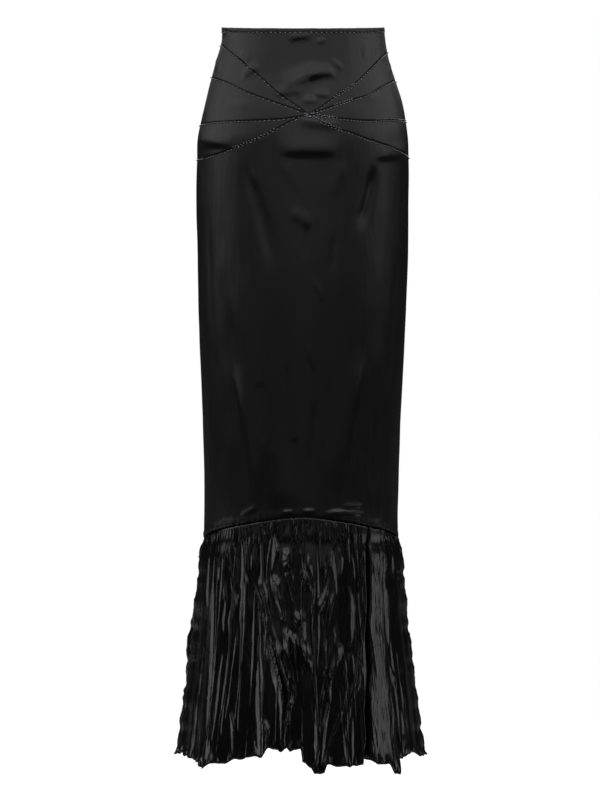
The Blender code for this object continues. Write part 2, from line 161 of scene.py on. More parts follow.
def flounce_z(angle):
    """Height of the arched seam: the middle's height plus a share of the drop to the side seams,
    which grows as (1 - |cos|) to a power under 1, so the arch is flat on top."""
    c = np.cos(np.radians(angle))
    top = np.where(c > 0, FLOUNCE_Z_FRONT, FLOUNCE_Z_BACK)
    return top + (FLOUNCE_Z_SIDE - top) * (1 - np.abs(c)) ** ARCH_POWER


side_seam = skirt_points(np.array([-90.0, 90.0]), np.zeros(2))
print("waist:", round(float(side_seam[1, 0] - side_seam[0, 0]), 3), "m across")

# %% The fan seams, each given from left to right as rows of angle and height
FAN_SEAMS = {
    "left_1": [(-90, -0.027), (-75, -0.031), (-43, -0.059), (-26, -0.086), (-12, -0.114),
               (-1.4, -0.133), (FAN_ANGLE, FAN_Z)],
    "left_2": [(-90, -0.074), (-70, -0.081), (-47, -0.094), (-33, -0.108), (-23, -0.117),
               (-10, -0.129), (FAN_ANGLE, FAN_Z)],
    "left_3": [(-90, -0.148), (-53, -0.1485), (-24, -0.1495), (-10, -0.1480), (-3, -0.1455),
               (FAN_ANGLE, FAN_Z)],
    "left_4": [(-90, -0.199), (-60, -0.199), (-49, -0.195), (-38, -0.188), (-28, -0.180),
               (-19, -0.170), (-10, -0.157), (-3.6, -0.1485), (FAN_ANGLE, FAN_Z)],
    "right_1": [(FAN_ANGLE, FAN_Z), (9.6, -0.132), (18, -0.116), (30, -0.098), (43, -0.076),
                (78, -0.041), (90, -0.037)],
    "right_2": [(FAN_ANGLE, FAN_Z), (12, -0.134), (25, -0.122), (39, -0.111), (53, -0.097),
                (75, -0.084), (90, -0.081)],
    "right_3": [(FAN_ANGLE, FAN_Z), (19, -0.147), (37, -0.149), (54, -0.1455), (90, -0.143)],
    "right_4": [(FAN_ANGLE, FAN_Z), (9, -0.151), (15, -0.159), (26, -0.168), (36, -0.176),
                (51, -0.184), (67, -0.192), (90, -0.198)],
}


def fan_z(seam):
    """Height along one fan seam as a function of the angle."""
    rows = FAN_SEAMS[seam]
    return lambda angle: smooth_read(angle, column_of(rows, 0), column_of(rows, 1))


def joined(first, second):
    """Two fan seams as one line across the front: `first` up to the fan's middle, then `second`."""
    one, two = fan_z(first), fan_z(second)
    return lambda angle: np.where(np.asarray(angle) < FAN_ANGLE, one(angle), two(angle))


print("fan:", len(FAN_SEAMS), "seams that meet at", FAN_ANGLE, "degrees")

# %% [markdown]
# ## Creases given one by one
#
# A simulation would give a convincing cloth, but not this cloth. The photo shows where the satin
# drags, rolls and puckers, so each main crease is a row of a table: where it starts and ends, how
# much it bows, how wide it is on each side, and how far it rises out of the cloth or sinks in. A
# crease that is narrow on one side turns its cloth sharply there, which is what makes a dark line
# with a bright one beside it on satin.

# %% One function for soft folds and one for unevenness
END_SHARE = 0.33            # share of a crease's length over which it fades in or out
WAVES, WAVE_SIZE = 24, 0.6  # so many waves, scaled so that their sum is mostly between -1 and 1


def smooth_step(x):
    """0 below 0, 1 above 1, and an S-shaped curve between."""
    x = np.clip(x, 0, 1)
    return x * x * (3 - 2 * x)


def creases(angle, height, table):
    """Sum of the rises of a table of creases, in mm, at points given by angle in degrees and height
    in mm. Each row runs from one point to another, in the order left to right or top to bottom.
    Rise falls off with the distance d from the line as exp(-(d/w)^2), with one w above or to the
    right of the line and another below or to its left, and it fades in and out over the first and
    last third of the length."""
    total = np.zeros(np.broadcast(angle, height).shape)
    for a0, h0, a1, h1, bow, over, under, rise in table:
        dx, dz = (a1 - a0) * MM_PER_DEGREE, h1 - h0
        length = math.hypot(dx, dz)
        px, pz = (angle - a0) * MM_PER_DEGREE, height - h0
        along = (px * dx + pz * dz) / length ** 2
        inside = np.clip(along, 0, 1)
        away = (-px * dz + pz * dx) / length - 4 * inside * (1 - inside) * bow
        ratio = away / np.where(away > 0, over, under)
        fade = smooth_step(along / END_SHARE) * smooth_step((1 - along) / END_SHARE)
        total += rise * np.exp(-ratio ** 2) * fade
    return total


def ripples(angle, height, row):
    """Smooth unevenness from a row of rise, seed, and wavelength round and down the skirt, in mm: a
    sum of waves of random direction and phase whose lengths are about those."""
    rise, seed, across_mm, along_mm = row
    rng = np.random.default_rng(seed)
    total = np.zeros(np.broadcast(angle, height).shape)
    for _ in range(WAVES):
        fx = rng.normal() * 2 * math.pi / across_mm
        fz = rng.normal() * 2 * math.pi / along_mm
        total += np.sin(fx * angle * MM_PER_DEGREE + fz * height + rng.uniform(0, 2 * math.pi))
    return rise * (total * math.sqrt(2 / WAVES) * WAVE_SIZE)


# %% The yoke's and the column's creases
#                from          to           bow  above/ below/  rise
#                angle height  angle height  mm  right  left    mm
YOKE_CREASES = [(-14, -104, 14, -74, 1.5, 14, 7.0, 3.0),     # the drag line under the waist
                (1, -87, 22, -80, 4.0, 9, 5.5, 3.4),         # and its thick right-hand end
                (-18, -110, 3, -104, 0.0, 8, 6.0, 1.9),
                (6, -110, 16, -114, 0.5, 5, 3.5, 1.5),
                (-1, -121, 9, -122, 0.5, 5, 3.5, 1.5),
                (-12, -27, 8, -23, 0.5, 9, 6.0, 2.6),        # the dark roll under the binding
                (8, -34, 17, -30, 0.3, 4, 3.5, 1.3),
                (18, -58, 26, -74, 0.0, 4, 3.5, 1.2),
                (-42, -86, -26, -69, 4.0, 9, 6.0, 1.5),
                (-47, -46, -35, -60, 0.0, 5, 4.5, 1.1),
                (50, -27, 44, -56, 0.0, 4, 6.0, 1.0),
                (58, -30, 52, -60, 0.0, 4, 5.0, 0.9),
                (36, -118, 54, -110, 1.0, 7, 5.0, 0.8),
                (-52, -124, -30, -128, 1.0, 8, 6.0, 0.7),
                (-4, -148, 22, -157, -1.0, 7, 7.0, 2.2),     # a roll under the fan's middle
                (-86, -46, -64, -68, 0.0, 7, 7.0, 1.6),      # dark corners of the uppermost wedges
                (66, -72, 86, -52, 0.0, 7, 7.0, 1.5),
                (-86, -171, -36, -184, 1.0, 16, 6.0, 2.2),   # edges of the hip, left and right
                (36, -203, 86, -192, 2.0, 16, 6.0, 1.9),
                (-17, -194, 23, -194, 1.0, 17, 9.0, 3.2)]    # edge of the belly
COLUMN_CREASES = [(-34, -205, -16, -372, 6.0, 9, 9.0, -4.0),   # the fold down from the left hip
                  (-27, -212, -24, -290, 0.0, 6, 8.0, 1.4),
                  (-12, -206, 0, -262, 2.0, 9, 9.0, 1.1),
                  (24, -206, 14, -268, -2.0, 9, 9.0, 1.1),
                  (42, -208, 31, -318, 3.0, 9, 9.0, -3.8),     # the fold down from the right hip
                  (-8, -280, 7, -306, 0.0, 9, 8.0, 1.5),
                  (3, -300, 1, -352, 0.0, 4, 4.0, -1.0),
                  (17, -315, 16, -375, 0.0, 4, 4.0, -1.2),
                  (4, -380, 13, -418, 1.0, 3.5, 3.5, 1.2),
                  (1, -470, 8, -520, 0.0, 4, 3.5, 1.0),
                  (-9, -505, -9, -545, 0.0, 4, 4.0, -0.8),
                  (-28, -535, -20, -526, 0.0, 4, 4.0, 0.8),
                  (-9, -612, -1, -614, 0.0, 5, 4.0, 0.8),
                  (-45, -400, -38, -610, 0.0, 9, 9.0, -1.6),
                  (-44, -500, -27, -726, 8.0, 24, 6.0, 3.4),   # the fold's edge low on the left
                  (-31, -330, -25, -550, 0.0, 26, 16.0, 1.6),  # and the broad soft band beside it
                  (-27, -470, -17, -670, 0.0, 24, 15.0, 2.4),
                  (-21, -590, -12, -740, 0.0, 22, 13.0, 2.6),
                  (-39, -733, -26, -715, 1.0, 3.2, 3.0, 2.6),
                  (-13, -724, -4, -723, 0.4, 2.8, 2.6, 2.4),
                  (-1, -722, 9, -722, 0.4, 2.8, 2.6, 2.4),
                  (11, -726, 40, -728, 2.5, 4.5, 3.2, 3.4),
                  (22, -716, 39, -716, 1.0, 3.0, 2.6, 2.2),
                  (37, -480, 20, -705, 0.0, 5, 22.0, 2.8),     # and its fellow on the right
                  (8, -555, 4, -668, 0.0, 4, 4.0, -1.1),
                  (-50, -360, -46, -530, 0.0, 14, 14.0, -1.0),
                  (32, -580, 30, -705, 0.0, 2.5, 3.0, 0.9),
                  (41, -590, 39, -735, 0.0, 2.5, 2.5, -1.1),
                  (47, -565, 46, -730, 0.0, 3, 2.5, -1.0),
                  (55, -600, 54, -745, 0.0, 3, 3.0, -1.0),
                  (62, -330, 58, -560, 0.0, 8, 8.0, -1.0),
                  (-62, -260, -60, -480, 0.0, 8, 8.0, -0.8)]
# Behind, the angles are counted from the middle of the back.
BACK_CREASES = [(-34, -228, 34, -226, -10.0, 18, 9.0, 1.9),     # the seat's lower edge
                (-40, -250, -20, -420, 6.0, 9, 9.0, -1.8),
                (36, -244, 22, -400, 4.0, 9, 9.0, -1.6),
                (-10, -330, 6, -350, 0.0, 8, 8.0, 0.8),
                (8, -400, 16, -440, 0.0, 5, 5.0, 0.7),
                (-30, -560, -22, -715, 4.0, 8, 8.0, -1.6),
                (26, -540, 33, -700, 3.0, 8, 8.0, -1.5),
                (-6, -560, -5, -690, 0.0, 6, 6.0, -0.6),
                (12, -500, 14, -660, 0.0, 6, 6.0, 0.6),
                (-62, -300, -58, -560, 0.0, 9, 9.0, -1.0),
                (60, -320, 58, -540, 0.0, 9, 9.0, -1.0),
                (-46, -70, -26, -96, 3.0, 10, 7.0, 1.0),
                (22, -92, 44, -72, 3.0, 10, 7.0, 0.9),
                (-20, -44, -4, -52, 0.0, 6, 4.0, 0.7),
                (4, -70, 18, -62, 0.0, 6, 4.0, 0.6)]
# The slight unevenness of all satin, as rows for `ripples`.
BROAD_UNEVEN, FINE_UNEVEN = (0.22, 5, 60, 160), (0.07, 6, 14, 70)
print("creases:", len(YOKE_CREASES), "on the yoke,", len(COLUMN_CREASES), "on the column,",
      len(BACK_CREASES), "behind")


def body_relief(angle, height):
    """Rise of the column's and yoke's cloth, in mm: the charted creases of the side that the point
    is on, plus the unevenness."""
    behind = (angle + 360) % 360 - 180
    front_part = creases(angle, height, YOKE_CREASES + COLUMN_CREASES)
    back_part = creases(behind, height, BACK_CREASES)
    is_front = np.abs(angle) <= 90
    uneven = ripples(angle, height, BROAD_UNEVEN) + ripples(angle, height, FINE_UNEVEN)
    return np.where(is_front, front_part, back_part) + uneven


# %% [markdown]
# ## Making cloth
#
# Every panel is a grid: its columns run down from an upper seam to a lower one and its rows run
# round the skirt. The points come from the body's formula, so no piece has to be fitted, and the
# UV map holds real distances along the cloth in metres, which lets the weave follow the panel.

# %% Grid meshes
CLOTH_THICKNESS = 0.5 * MM


def grid_mesh(name, points, uv):
    """A mesh from a grid of points (rows down, columns round) and a matching grid of UVs."""
    rows, columns = points.shape[:2]
    index = np.arange(rows * columns).reshape(rows, columns)
    quads = np.stack([index[:-1, :-1], index[1:, :-1], index[1:, 1:], index[:-1, 1:]], axis=-1)
    quads = quads.reshape(-1, 4)
    mesh = bpy.data.meshes.new(name)
    mesh.vertices.add(points.shape[0] * points.shape[1])
    mesh.vertices.foreach_set("co", points.reshape(-1).astype(np.float32))
    mesh.loops.add(quads.size)
    mesh.loops.foreach_set("vertex_index", quads.reshape(-1).astype(np.int32))
    mesh.polygons.add(len(quads))
    mesh.polygons.foreach_set("loop_start", np.arange(0, quads.size, 4, dtype=np.int32))
    mesh.update(calc_edges=True)
    layer = mesh.uv_layers.new(name="cloth")
    at_corners = uv.reshape(-1, 2)[quads.reshape(-1)]
    layer.data.foreach_set("uv", at_corners.reshape(-1).astype(np.float32))
    mesh.shade_smooth()
    return mesh


def cloth_uv(points):
    """Distance along the cloth: round it from its middle column, and down it from the height of its
    topmost point, so that the threads run level and upright below any shape of upper edge."""
    round_steps = np.linalg.norm(np.diff(points, axis=1), axis=-1)
    down_steps = np.linalg.norm(np.diff(points, axis=0), axis=-1)
    u = np.concatenate([np.zeros((len(points), 1)), np.cumsum(round_steps, axis=1)], axis=1)
    start = (points[0, :, 2].max() - points[0, :, 2])[None, :]
    v = start + np.concatenate([0 * start, np.cumsum(down_steps, axis=0)], axis=0)
    return np.stack([u - u[:, -1:] / 2, -v], axis=-1)


def new_piece(name, mesh, material, replaced=(), body=BODY):
    """Link a mesh as a finished piece: its material, the body it rides on, and the CAD nodes that it
    stands for, which it hides."""
    obj = bpy.data.objects.new(name, mesh)
    bpy.context.scene.collection.objects.link(obj)
    mesh.materials.append(material)
    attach(obj, body)
    if replaced:
        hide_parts(*replaced)
    return obj


def thicken(obj, thickness):
    """Give a sheet its thickness, inwards from the modelled face."""
    solid = obj.modifiers.new("thickness", "SOLIDIFY")
    solid.thickness = thickness
    solid.offset = -1


def finished_panel(name, node, points, material):
    """A panel from its grid of points: its mesh and finish, and its thickness."""
    obj = new_piece(name, grid_mesh(name, points, cloth_uv(points)), material, [node])
    thicken(obj, CLOTH_THICKNESS)


# %% Small parts, many at once
def frames_at(angle, z, out_mm, turn=0.0):
    """Place and axes on the cloth at each point: along it round the skirt, out of it, and up it,
    from the differences to its near neighbours. `turn` turns the first axis towards the third, in
    degrees."""
    def at(a, h):
        return skirt_points(a, h, out_mm * MM)

    aside, above = 0.2, 0.4 * MM
    origin = at(angle, z)
    along = at(angle + aside, z) - at(angle - aside, z)
    out = np.cross(along, at(angle, z + above) - at(angle, z - above))
    along /= np.linalg.norm(along, axis=-1, keepdims=True)
    out /= np.linalg.norm(out, axis=-1, keepdims=True)
    up = np.cross(out, along)
    t = np.radians(turn) * np.ones(len(origin))
    c, s = np.cos(t)[:, None], np.sin(t)[:, None]
    return origin, np.stack([c * along + s * up, out, c * up - s * along], axis=1)


def copies(name, shape, frames, sizes):
    """One joined mesh: a copy of a small shape (points, triangles) at each place, stretched along
    the place's own three axes by its three sizes, in mm."""
    points, triangles = shape
    origins, axes = frames
    sizes = np.broadcast_to(np.asarray(sizes, dtype=float) * MM, origins.shape)
    placed = np.einsum("npk,nkx->npx", points[None] * sizes[:, None], axes) + origins[:, None]
    numbers = triangles[None] + (np.arange(len(origins)) * len(points))[:, None, None]
    mesh = bpy.data.meshes.new(name)
    mesh.from_pydata(placed.reshape(-1, 3).tolist(), [], numbers.reshape(-1, 3).tolist())
    print(f"{name}: {len(origins)} copies, {len(mesh.polygons)} triangles")
    return mesh


def spun_shape(rows, sides):
    """A closed shape spun about its long first axis: rows of (place along, radius), with a pole at
    each end."""
    turn = np.arange(sides) * 2 * math.pi / sides
    rings = [np.stack([x + 0 * turn, r * np.cos(turn), r * np.sin(turn)], axis=-1)
             for x, r in rows[1:-1]]
    points = np.concatenate([[[rows[0][0], 0, 0]], *rings, [[rows[-1][0], 0, 0]]])
    triangles = []
    last = len(points) - 1
    for k in range(sides):
        j = (k + 1) % sides
        triangles.append((0, 1 + j, 1 + k))
        triangles.append((last, last - sides + k, last - sides + j))
        for ring in range(len(rings) - 1):
            a, b = 1 + ring * sides, 1 + (ring + 1) * sides
            triangles += [(a + k, a + j, b + j), (a + k, b + j, b + k)]
    return points, np.array(triangles)


BEAD_PROFILE = [(-0.5, 0), (-0.42, 0.30), (0.0, 0.5), (0.42, 0.30), (0.5, 0)]
STITCH_PROFILE = [(-0.5, 0), (-0.46, 0.30), (-0.3, 0.5), (0.3, 0.5), (0.46, 0.30), (0.5, 0)]
BEAD_SHAPE = spun_shape(BEAD_PROFILE, 8)
STITCH_SHAPE = spun_shape(STITCH_PROFILE, 6)
print("bead:", len(BEAD_SHAPE[1]), "triangles, stitch:", len(STITCH_SHAPE[1]), "triangles")

# %% [markdown]
# ## Finishes
#
# Satin floats its warp threads over the surface. They lie side by side along the length of the
# skirt, so a highlight spreads sideways and stays narrow lengthwise: an anisotropic shader whose
# tangent follows the cloth's own UV map gives that sheen. Black cloth reflects little else, so its
# shape is drawn almost wholly by its highlights.

# %% Colours and nodes
def to_linear(hex_colour):
    """An sRGB hex colour as linear red, green, blue and alpha."""
    srgb = np.array([int(hex_colour[i:i + 2], 16) for i in (1, 3, 5)]) / 255
    linear = np.where(srgb <= 0.04045, srgb / 12.92, ((srgb + 0.055) / 1.055) ** 2.4)
    return (*linear.tolist(), 1.0)


def add(tree, kind, settings=None, values=None, links=None):
    """Add one node: attributes from `settings`, socket values from `values`, and its inputs linked
    to the output sockets in `links`."""
    node = tree.nodes.new(kind)
    for key, value in (settings or {}).items():
        setattr(node, key, value)
    for key, value in (values or {}).items():
        node.inputs[key].default_value = value
    for key, socket in (links or {}).items():
        tree.links.new(socket, node.inputs[key])
    return node


def new_material(name):
    """An empty node material with its output node."""
    material = bpy.data.materials.new(name)
    material.use_nodes = True
    tree = material.node_tree
    tree.nodes.clear()
    return material, tree, tree.nodes.new("ShaderNodeOutputMaterial")


print("sRGB #808080 is", round(to_linear("#808080")[0], 3), "in linear light")

# %% Satin
# The spacing of the warp threads. One is too fine to show, so a rib is drawn several threads wide.
THREAD, THREADS_DRAWN = 0.35 * MM, 6
RIB_LENGTH = 30 * MM
STREAK_WIDTH, STREAK_LENGTH = 8 * MM, 60 * MM
CRUSH_WIDTH, CRUSH_LENGTH, CRUSH_BEND = 8 * MM, 200 * MM, 6 * MM
WEAVE_HEIGHT, STREAK_HEIGHT, CRUSH_HEIGHT = 0.05 * MM, 0.30 * MM, 0.05 * MM


def crushed_creases(tree, uv):
    """Heat-set creases too fine to model: long narrow cells with a thin ridge along every edge.
    Noise bends the cells, so that no two ridges run parallel."""
    bend = add(tree, "ShaderNodeTexNoise", values={"Scale": 14.0, "Detail": 1.0},
               links={"Vector": uv}).outputs["Color"]
    push = add(tree, "ShaderNodeVectorMath", {"operation": "SCALE"}, {"Scale": CRUSH_BEND},
               {0: bend}).outputs[0]
    bent = add(tree, "ShaderNodeVectorMath", {"operation": "ADD"},
               links={0: uv, 1: push}).outputs[0]
    long_cells = add(tree, "ShaderNodeMapping",
                     values={"Scale": (1 / CRUSH_WIDTH, 1 / CRUSH_LENGTH, 1)},
                     links={"Vector": bent}).outputs["Vector"]
    edges = add(tree, "ShaderNodeTexVoronoi",
                {"voronoi_dimensions": "2D", "feature": "DISTANCE_TO_EDGE"},
                {"Scale": 1.0, "Randomness": 1.0}, {"Vector": long_cells}).outputs["Distance"]
    ridge = add(tree, "ShaderNodeMapRange", {"interpolation_type": "SMOOTHSTEP"},
                {"From Min": 0.0, "From Max": 0.07, "To Min": 1.0, "To Max": 0.0},
                {"Value": edges}).outputs["Result"]
    return add(tree, "ShaderNodeBump", values={"Strength": 1.0, "Distance": CRUSH_HEIGHT},
               links={"Height": ridge}).outputs["Normal"]


def satin(name, colour, lighter, roughness, anisotropy, weave_bump, streak_bump, crushed=False):
    """Polyester satin: a long soft sheen that breaks wherever the cloth bends. The weave's fine
    lengthwise ribs and longer uneven streaks come from the panel's UV map, and the roughness
    varies a little where the cloth has been handled and pressed."""
    material, tree, out = new_material(name)
    uv = add(tree, "ShaderNodeUVMap", {"uv_map": "cloth"}).outputs["UV"]
    threads = add(tree, "ShaderNodeMapping",
                  values={"Scale": (1 / (THREADS_DRAWN * THREAD), 1 / RIB_LENGTH, 1)},
                  links={"Vector": uv}).outputs["Vector"]
    weave = add(tree, "ShaderNodeTexNoise", values={"Scale": 1.0, "Detail": 2.0},
                links={"Vector": threads}).outputs["Fac"]
    long_way = add(tree, "ShaderNodeMapping",
                   values={"Scale": (1 / STREAK_WIDTH, 1 / STREAK_LENGTH, 1)},
                   links={"Vector": uv}).outputs["Vector"]
    streaks = add(tree, "ShaderNodeTexNoise", values={"Scale": 1.0, "Detail": 3.0},
                  links={"Vector": long_way}).outputs["Fac"]
    tint = add(tree, "ShaderNodeMix", {"data_type": "RGBA"},
               {6: to_linear(colour), 7: to_linear(lighter)}, {0: streaks})
    wear = add(tree, "ShaderNodeMapRange", values={"From Min": 0.3, "From Max": 0.7,
                                                   "To Min": roughness - 0.02,
                                                   "To Max": roughness + 0.03},
               links={"Value": streaks}).outputs["Result"]
    fine = add(tree, "ShaderNodeBump", values={"Strength": weave_bump, "Distance": WEAVE_HEIGHT},
               links={"Height": weave}).outputs["Normal"]
    if crushed:
        tree.links.new(crushed_creases(tree, uv), fine.node.inputs["Normal"])
    normal = add(tree, "ShaderNodeBump",
                 values={"Strength": streak_bump, "Distance": STREAK_HEIGHT},
                 links={"Height": streaks, "Normal": fine}).outputs["Normal"]
    tangent = add(tree, "ShaderNodeTangent", {"direction_type": "UV_MAP", "uv_map": "cloth"})
    shader = add(tree, "ShaderNodeBsdfPrincipled",
                 values={"IOR": 1.50, "Anisotropic": anisotropy},
                 links={"Base Color": tint.outputs[2], "Roughness": wear, "Normal": normal,
                        "Tangent": tangent.outputs["Tangent"]})
    tree.links.new(shader.outputs["BSDF"], out.inputs["Surface"])
    return material


# The binding is rubbed duller than the panels, and heat-setting has pressed the flounce smoother,
# so its narrow highlights are sharper.
#                     name                   colour     lighter    rough aniso weave streaks
binding_satin = satin("black_satin_binding", "#09090a", "#0e0e10", 0.46, 0.50, 0.25, 0.30)
yoke_satin = satin("black_satin_yoke", "#0a0a0b", "#101012", 0.33, 0.84, 0.25, 0.30)
column_satin = satin("black_satin_column", "#0b0b0c", "#101011", 0.35, 0.80, 0.25, 0.30)
crushed_satin = satin("crushed_black_satin", "#0c0c0d", "#121213", 0.17, 0.30, 0.12, 0.06,
                      crushed=True)
print("satins:", ", ".join(m.name for m in bpy.data.materials if "satin" in m.name))

# %% Thread, beads, tape and enamel
PLY_SCALE, TAPE_SCALE = 300.0, 400.0        # wave patterns: bands 1.05 and 0.79 mm apart
PATCH_SCALE, SCUFF_SCALE = 900.0, 700.0     # noise patterns: patches of about 1.1 and 1.4 mm


def overlock_thread():
    """Spun polyester thread, black and dull, with its plies slanting across it."""
    material, tree, out = new_material("black_polyester_thread")
    place = add(tree, "ShaderNodeTexCoord").outputs["Object"]
    wraps = add(tree, "ShaderNodeTexWave", {"bands_direction": "DIAGONAL"},
                {"Scale": PLY_SCALE, "Distortion": 2.0}, {"Vector": place}).outputs["Fac"]
    tint = add(tree, "ShaderNodeMix", {"data_type": "RGBA"},
               {6: to_linear("#0e0e0f"), 7: to_linear("#28282a")}, {0: wraps})
    normal = add(tree, "ShaderNodeBump", values={"Strength": 0.8, "Distance": 0.2 * MM},
                 links={"Height": wraps}).outputs["Normal"]
    shader = add(tree, "ShaderNodeBsdfPrincipled", values={"IOR": 1.50, "Roughness": 0.55},
                 links={"Base Color": tint.outputs[2], "Normal": normal})
    tree.links.new(shader.outputs["BSDF"], out.inputs["Surface"])
    return material


def glass_bead():
    """Small faceted glass beads with a gunmetal coat: nearly a mirror on each facet, so they show
    as bright grains on the black cloth."""
    material, tree, out = new_material("gunmetal_coated_glass_bead")
    place = add(tree, "ShaderNodeTexCoord").outputs["Object"]
    patchy = add(tree, "ShaderNodeTexNoise", values={"Scale": PATCH_SCALE, "Detail": 1.0},
                 links={"Vector": place}).outputs["Fac"]
    tint = add(tree, "ShaderNodeMix", {"data_type": "RGBA"},
               {6: to_linear("#5c5c62"), 7: to_linear("#b2b2b8")}, {0: patchy})
    shader = add(tree, "ShaderNodeBsdfPrincipled", values={"Metallic": 0.85, "Roughness": 0.20},
                 links={"Base Color": tint.outputs[2]})
    tree.links.new(shader.outputs["BSDF"], out.inputs["Surface"])
    return material


def woven_tape():
    """The zip's tape: woven polyester, matt, with fine threads that show as level ribs."""
    material, tree, out = new_material("black_woven_tape")
    place = add(tree, "ShaderNodeTexCoord").outputs["Object"]
    threads = add(tree, "ShaderNodeTexWave", {"bands_direction": "Z"},
                  {"Scale": TAPE_SCALE, "Distortion": 1.5}, {"Vector": place}).outputs["Fac"]
    normal = add(tree, "ShaderNodeBump", values={"Strength": 0.6, "Distance": 0.10 * MM},
                 links={"Height": threads}).outputs["Normal"]
    shader = add(tree, "ShaderNodeBsdfPrincipled",
                 values={"Base Color": to_linear("#141416"), "IOR": 1.50, "Roughness": 0.7},
                 links={"Normal": normal})
    tree.links.new(shader.outputs["BSDF"], out.inputs["Surface"])
    return material


def black_enamel():
    """Baked black enamel on zinc: smooth, half glossy, and dulled in spots by faint scuffs."""
    material, tree, out = new_material("black_enamelled_zinc")
    place = add(tree, "ShaderNodeTexCoord").outputs["Object"]
    scuffs = add(tree, "ShaderNodeTexNoise", values={"Scale": SCUFF_SCALE, "Detail": 3.0},
                 links={"Vector": place}).outputs["Fac"]
    gloss = add(tree, "ShaderNodeMapRange", values={"From Min": 0.35, "From Max": 0.65,
                                                    "To Min": 0.22, "To Max": 0.36},
                links={"Value": scuffs}).outputs["Result"]
    shader = add(tree, "ShaderNodeBsdfPrincipled",
                 values={"Base Color": to_linear("#161618"), "IOR": 1.52, "Coat Weight": 0.3},
                 links={"Roughness": gloss})
    tree.links.new(shader.outputs["BSDF"], out.inputs["Surface"])
    return material


thread_finish = overlock_thread()
bead_finish = glass_bead()
tape_finish = woven_tape()
enamel_finish = black_enamel()
print("other finishes:", [m.name for m in (thread_finish, bead_finish, tape_finish, enamel_finish)])

# %% [markdown]
# ## Waist binding
#
# A 6 mm strip of the same satin, folded over the cut edge. It is a flattened roll in section, made
# as a profile carried round the waist, with the slight waviness that a hand-turned edge has.

# %% Binding
BINDING_BULGE, BINDING_INSET, BINDING_SPARE = 1.25, 0.6, 0.25     # mm
BINDING_SQUARENESS = 0.6                                          # 1 is an oval, 0 a rectangle
BINDING_PUCKERS, BINDING_WAVES = (0.10, 11, 9, 100), (0.15, 12, 30, 100)


def make_binding():
    """A closed ring: an oval section, carried round the waist edge. Each section point moves up by
    its height and out by its bulge, plus small waves along the strip."""
    count, around = 360, 20
    angle = np.linspace(-180, 180, count + 1)[None, :]
    turn = np.linspace(0, 2 * math.pi, around + 1)[:, None]
    middle = waist_z(angle) - BINDING_HEIGHT / 2
    puckers = ripples(angle, 0.0, BINDING_PUCKERS)
    squared = np.sign(np.cos(turn)) * np.abs(np.cos(turn)) ** BINDING_SQUARENESS
    up = squared * (BINDING_HEIGHT / 2 + BINDING_SPARE * MM)
    out = -BINDING_INSET * MM + np.sin(turn) * (BINDING_BULGE + puckers) * MM
    z = middle + up + MM * ripples(angle, 0.0, BINDING_WAVES)
    points = skirt_points(np.broadcast_to(angle, z.shape), z, out)
    points[:, -1] = points[:, 0]
    mesh = grid_mesh("waist_binding_cloth", points[::-1], cloth_uv(points)[::-1])
    return new_piece("waist_binding_cloth", mesh, binding_satin, ["waist_binding"])


binding = make_binding()
print("waist_binding_cloth:", len(binding.data.polygons), "faces")

# %% [markdown]
# ## Panels of the yoke and the column
#
# Each panel of the fan laps over the one below it, so its lower edge turns in sharply and the next
# panel's upper edge hardly at all. The step faces down and shows as a fine dark line. The rows of
# points crowd towards the seams to draw it.

# %% Panels
SEAM_DROP, SEAM_REACH = 0.80, 1.6      # mm: how far a turned edge drops, and over what width
LAP = 0.10                             # share of that drop where a panel goes under its neighbour
STEP = 0.62                            # degrees between the columns of a panel
EDGE_STEPS, EDGE_ZONE = np.array([0, 0.2, 0.4, 0.6, 0.8, 1.1]), 1.6     # degrees from its ends
THINNEST_TIP = 0.5 * MM                # a wedge ends where it is this high


def panel_grid(angles, upper, lower, rows):
    """Angles and heights of a panel's points, crowded towards both seams: the share of the way
    down is (1 - cos) / 2 of an even step."""
    share = (1 - np.cos(np.linspace(0, math.pi, rows)))[:, None] / 2
    top, bottom = upper(angles), lower(angles)
    z = top * (1 - share) + bottom * share
    return np.broadcast_to(angles, z.shape), z, (top - z) / MM, (z - bottom) / MM


def turned_in(distance):
    """Drop of the cloth, in mm, at a distance in mm from a seam where its edge turns in fully:
    SEAM_DROP times exp(-(distance / reach)^2)."""
    return SEAM_DROP * np.exp(-(distance / SEAM_REACH) ** 2)


def make_panel(name, node, angles, upper, lower, rows):
    """A yoke panel with its creases and its turned edges. Its tip at the fan's middle isn't an edge
    that turns in; its ends at the side seams are."""
    angle, z, from_top, from_bottom = panel_grid(angles, upper, lower, rows)
    rise = body_relief(angle, z / MM) - LAP * turned_in(from_top) - turned_in(from_bottom)
    for edge in (angles[0], angles[-1]):
        if abs(abs(edge) - 90) < 1:
            rise -= turned_in((angle - edge) * MM_PER_DEGREE)
    points = skirt_points(angle, z, rise * MM)
    finished_panel(name, node, points, yoke_satin)


def with_edge_steps(first, last):
    """Angles from first to last, with finer steps near the two ends."""
    inner = np.arange(first + EDGE_ZONE, last - EDGE_ZONE, STEP)
    return np.concatenate([first + EDGE_STEPS, inner, (last - EDGE_STEPS)[::-1]])


front_angles = with_edge_steps(-90, 90)
make_panel("top_panel", "front_top_panel", front_angles, below_binding,
           joined("left_1", "right_1"), rows=44)

for side, edge in (("left", -90.0), ("right", 90.0)):
    for number, level in enumerate(("upper", "middle", "lower"), start=1):
        upper, lower = fan_z(f"{side}_{number}"), fan_z(f"{side}_{number + 1}")
        trial = np.linspace(edge, FAN_ANGLE, 900)
        tip = trial[(upper(trial) - lower(trial)) > THINNEST_TIP][-1]
        angles = with_edge_steps(min(edge, tip), max(edge, tip))
        make_panel(f"wedge_{level}_{side}", f"front_{level}_{side}", angles, upper, lower,
                   rows=26)

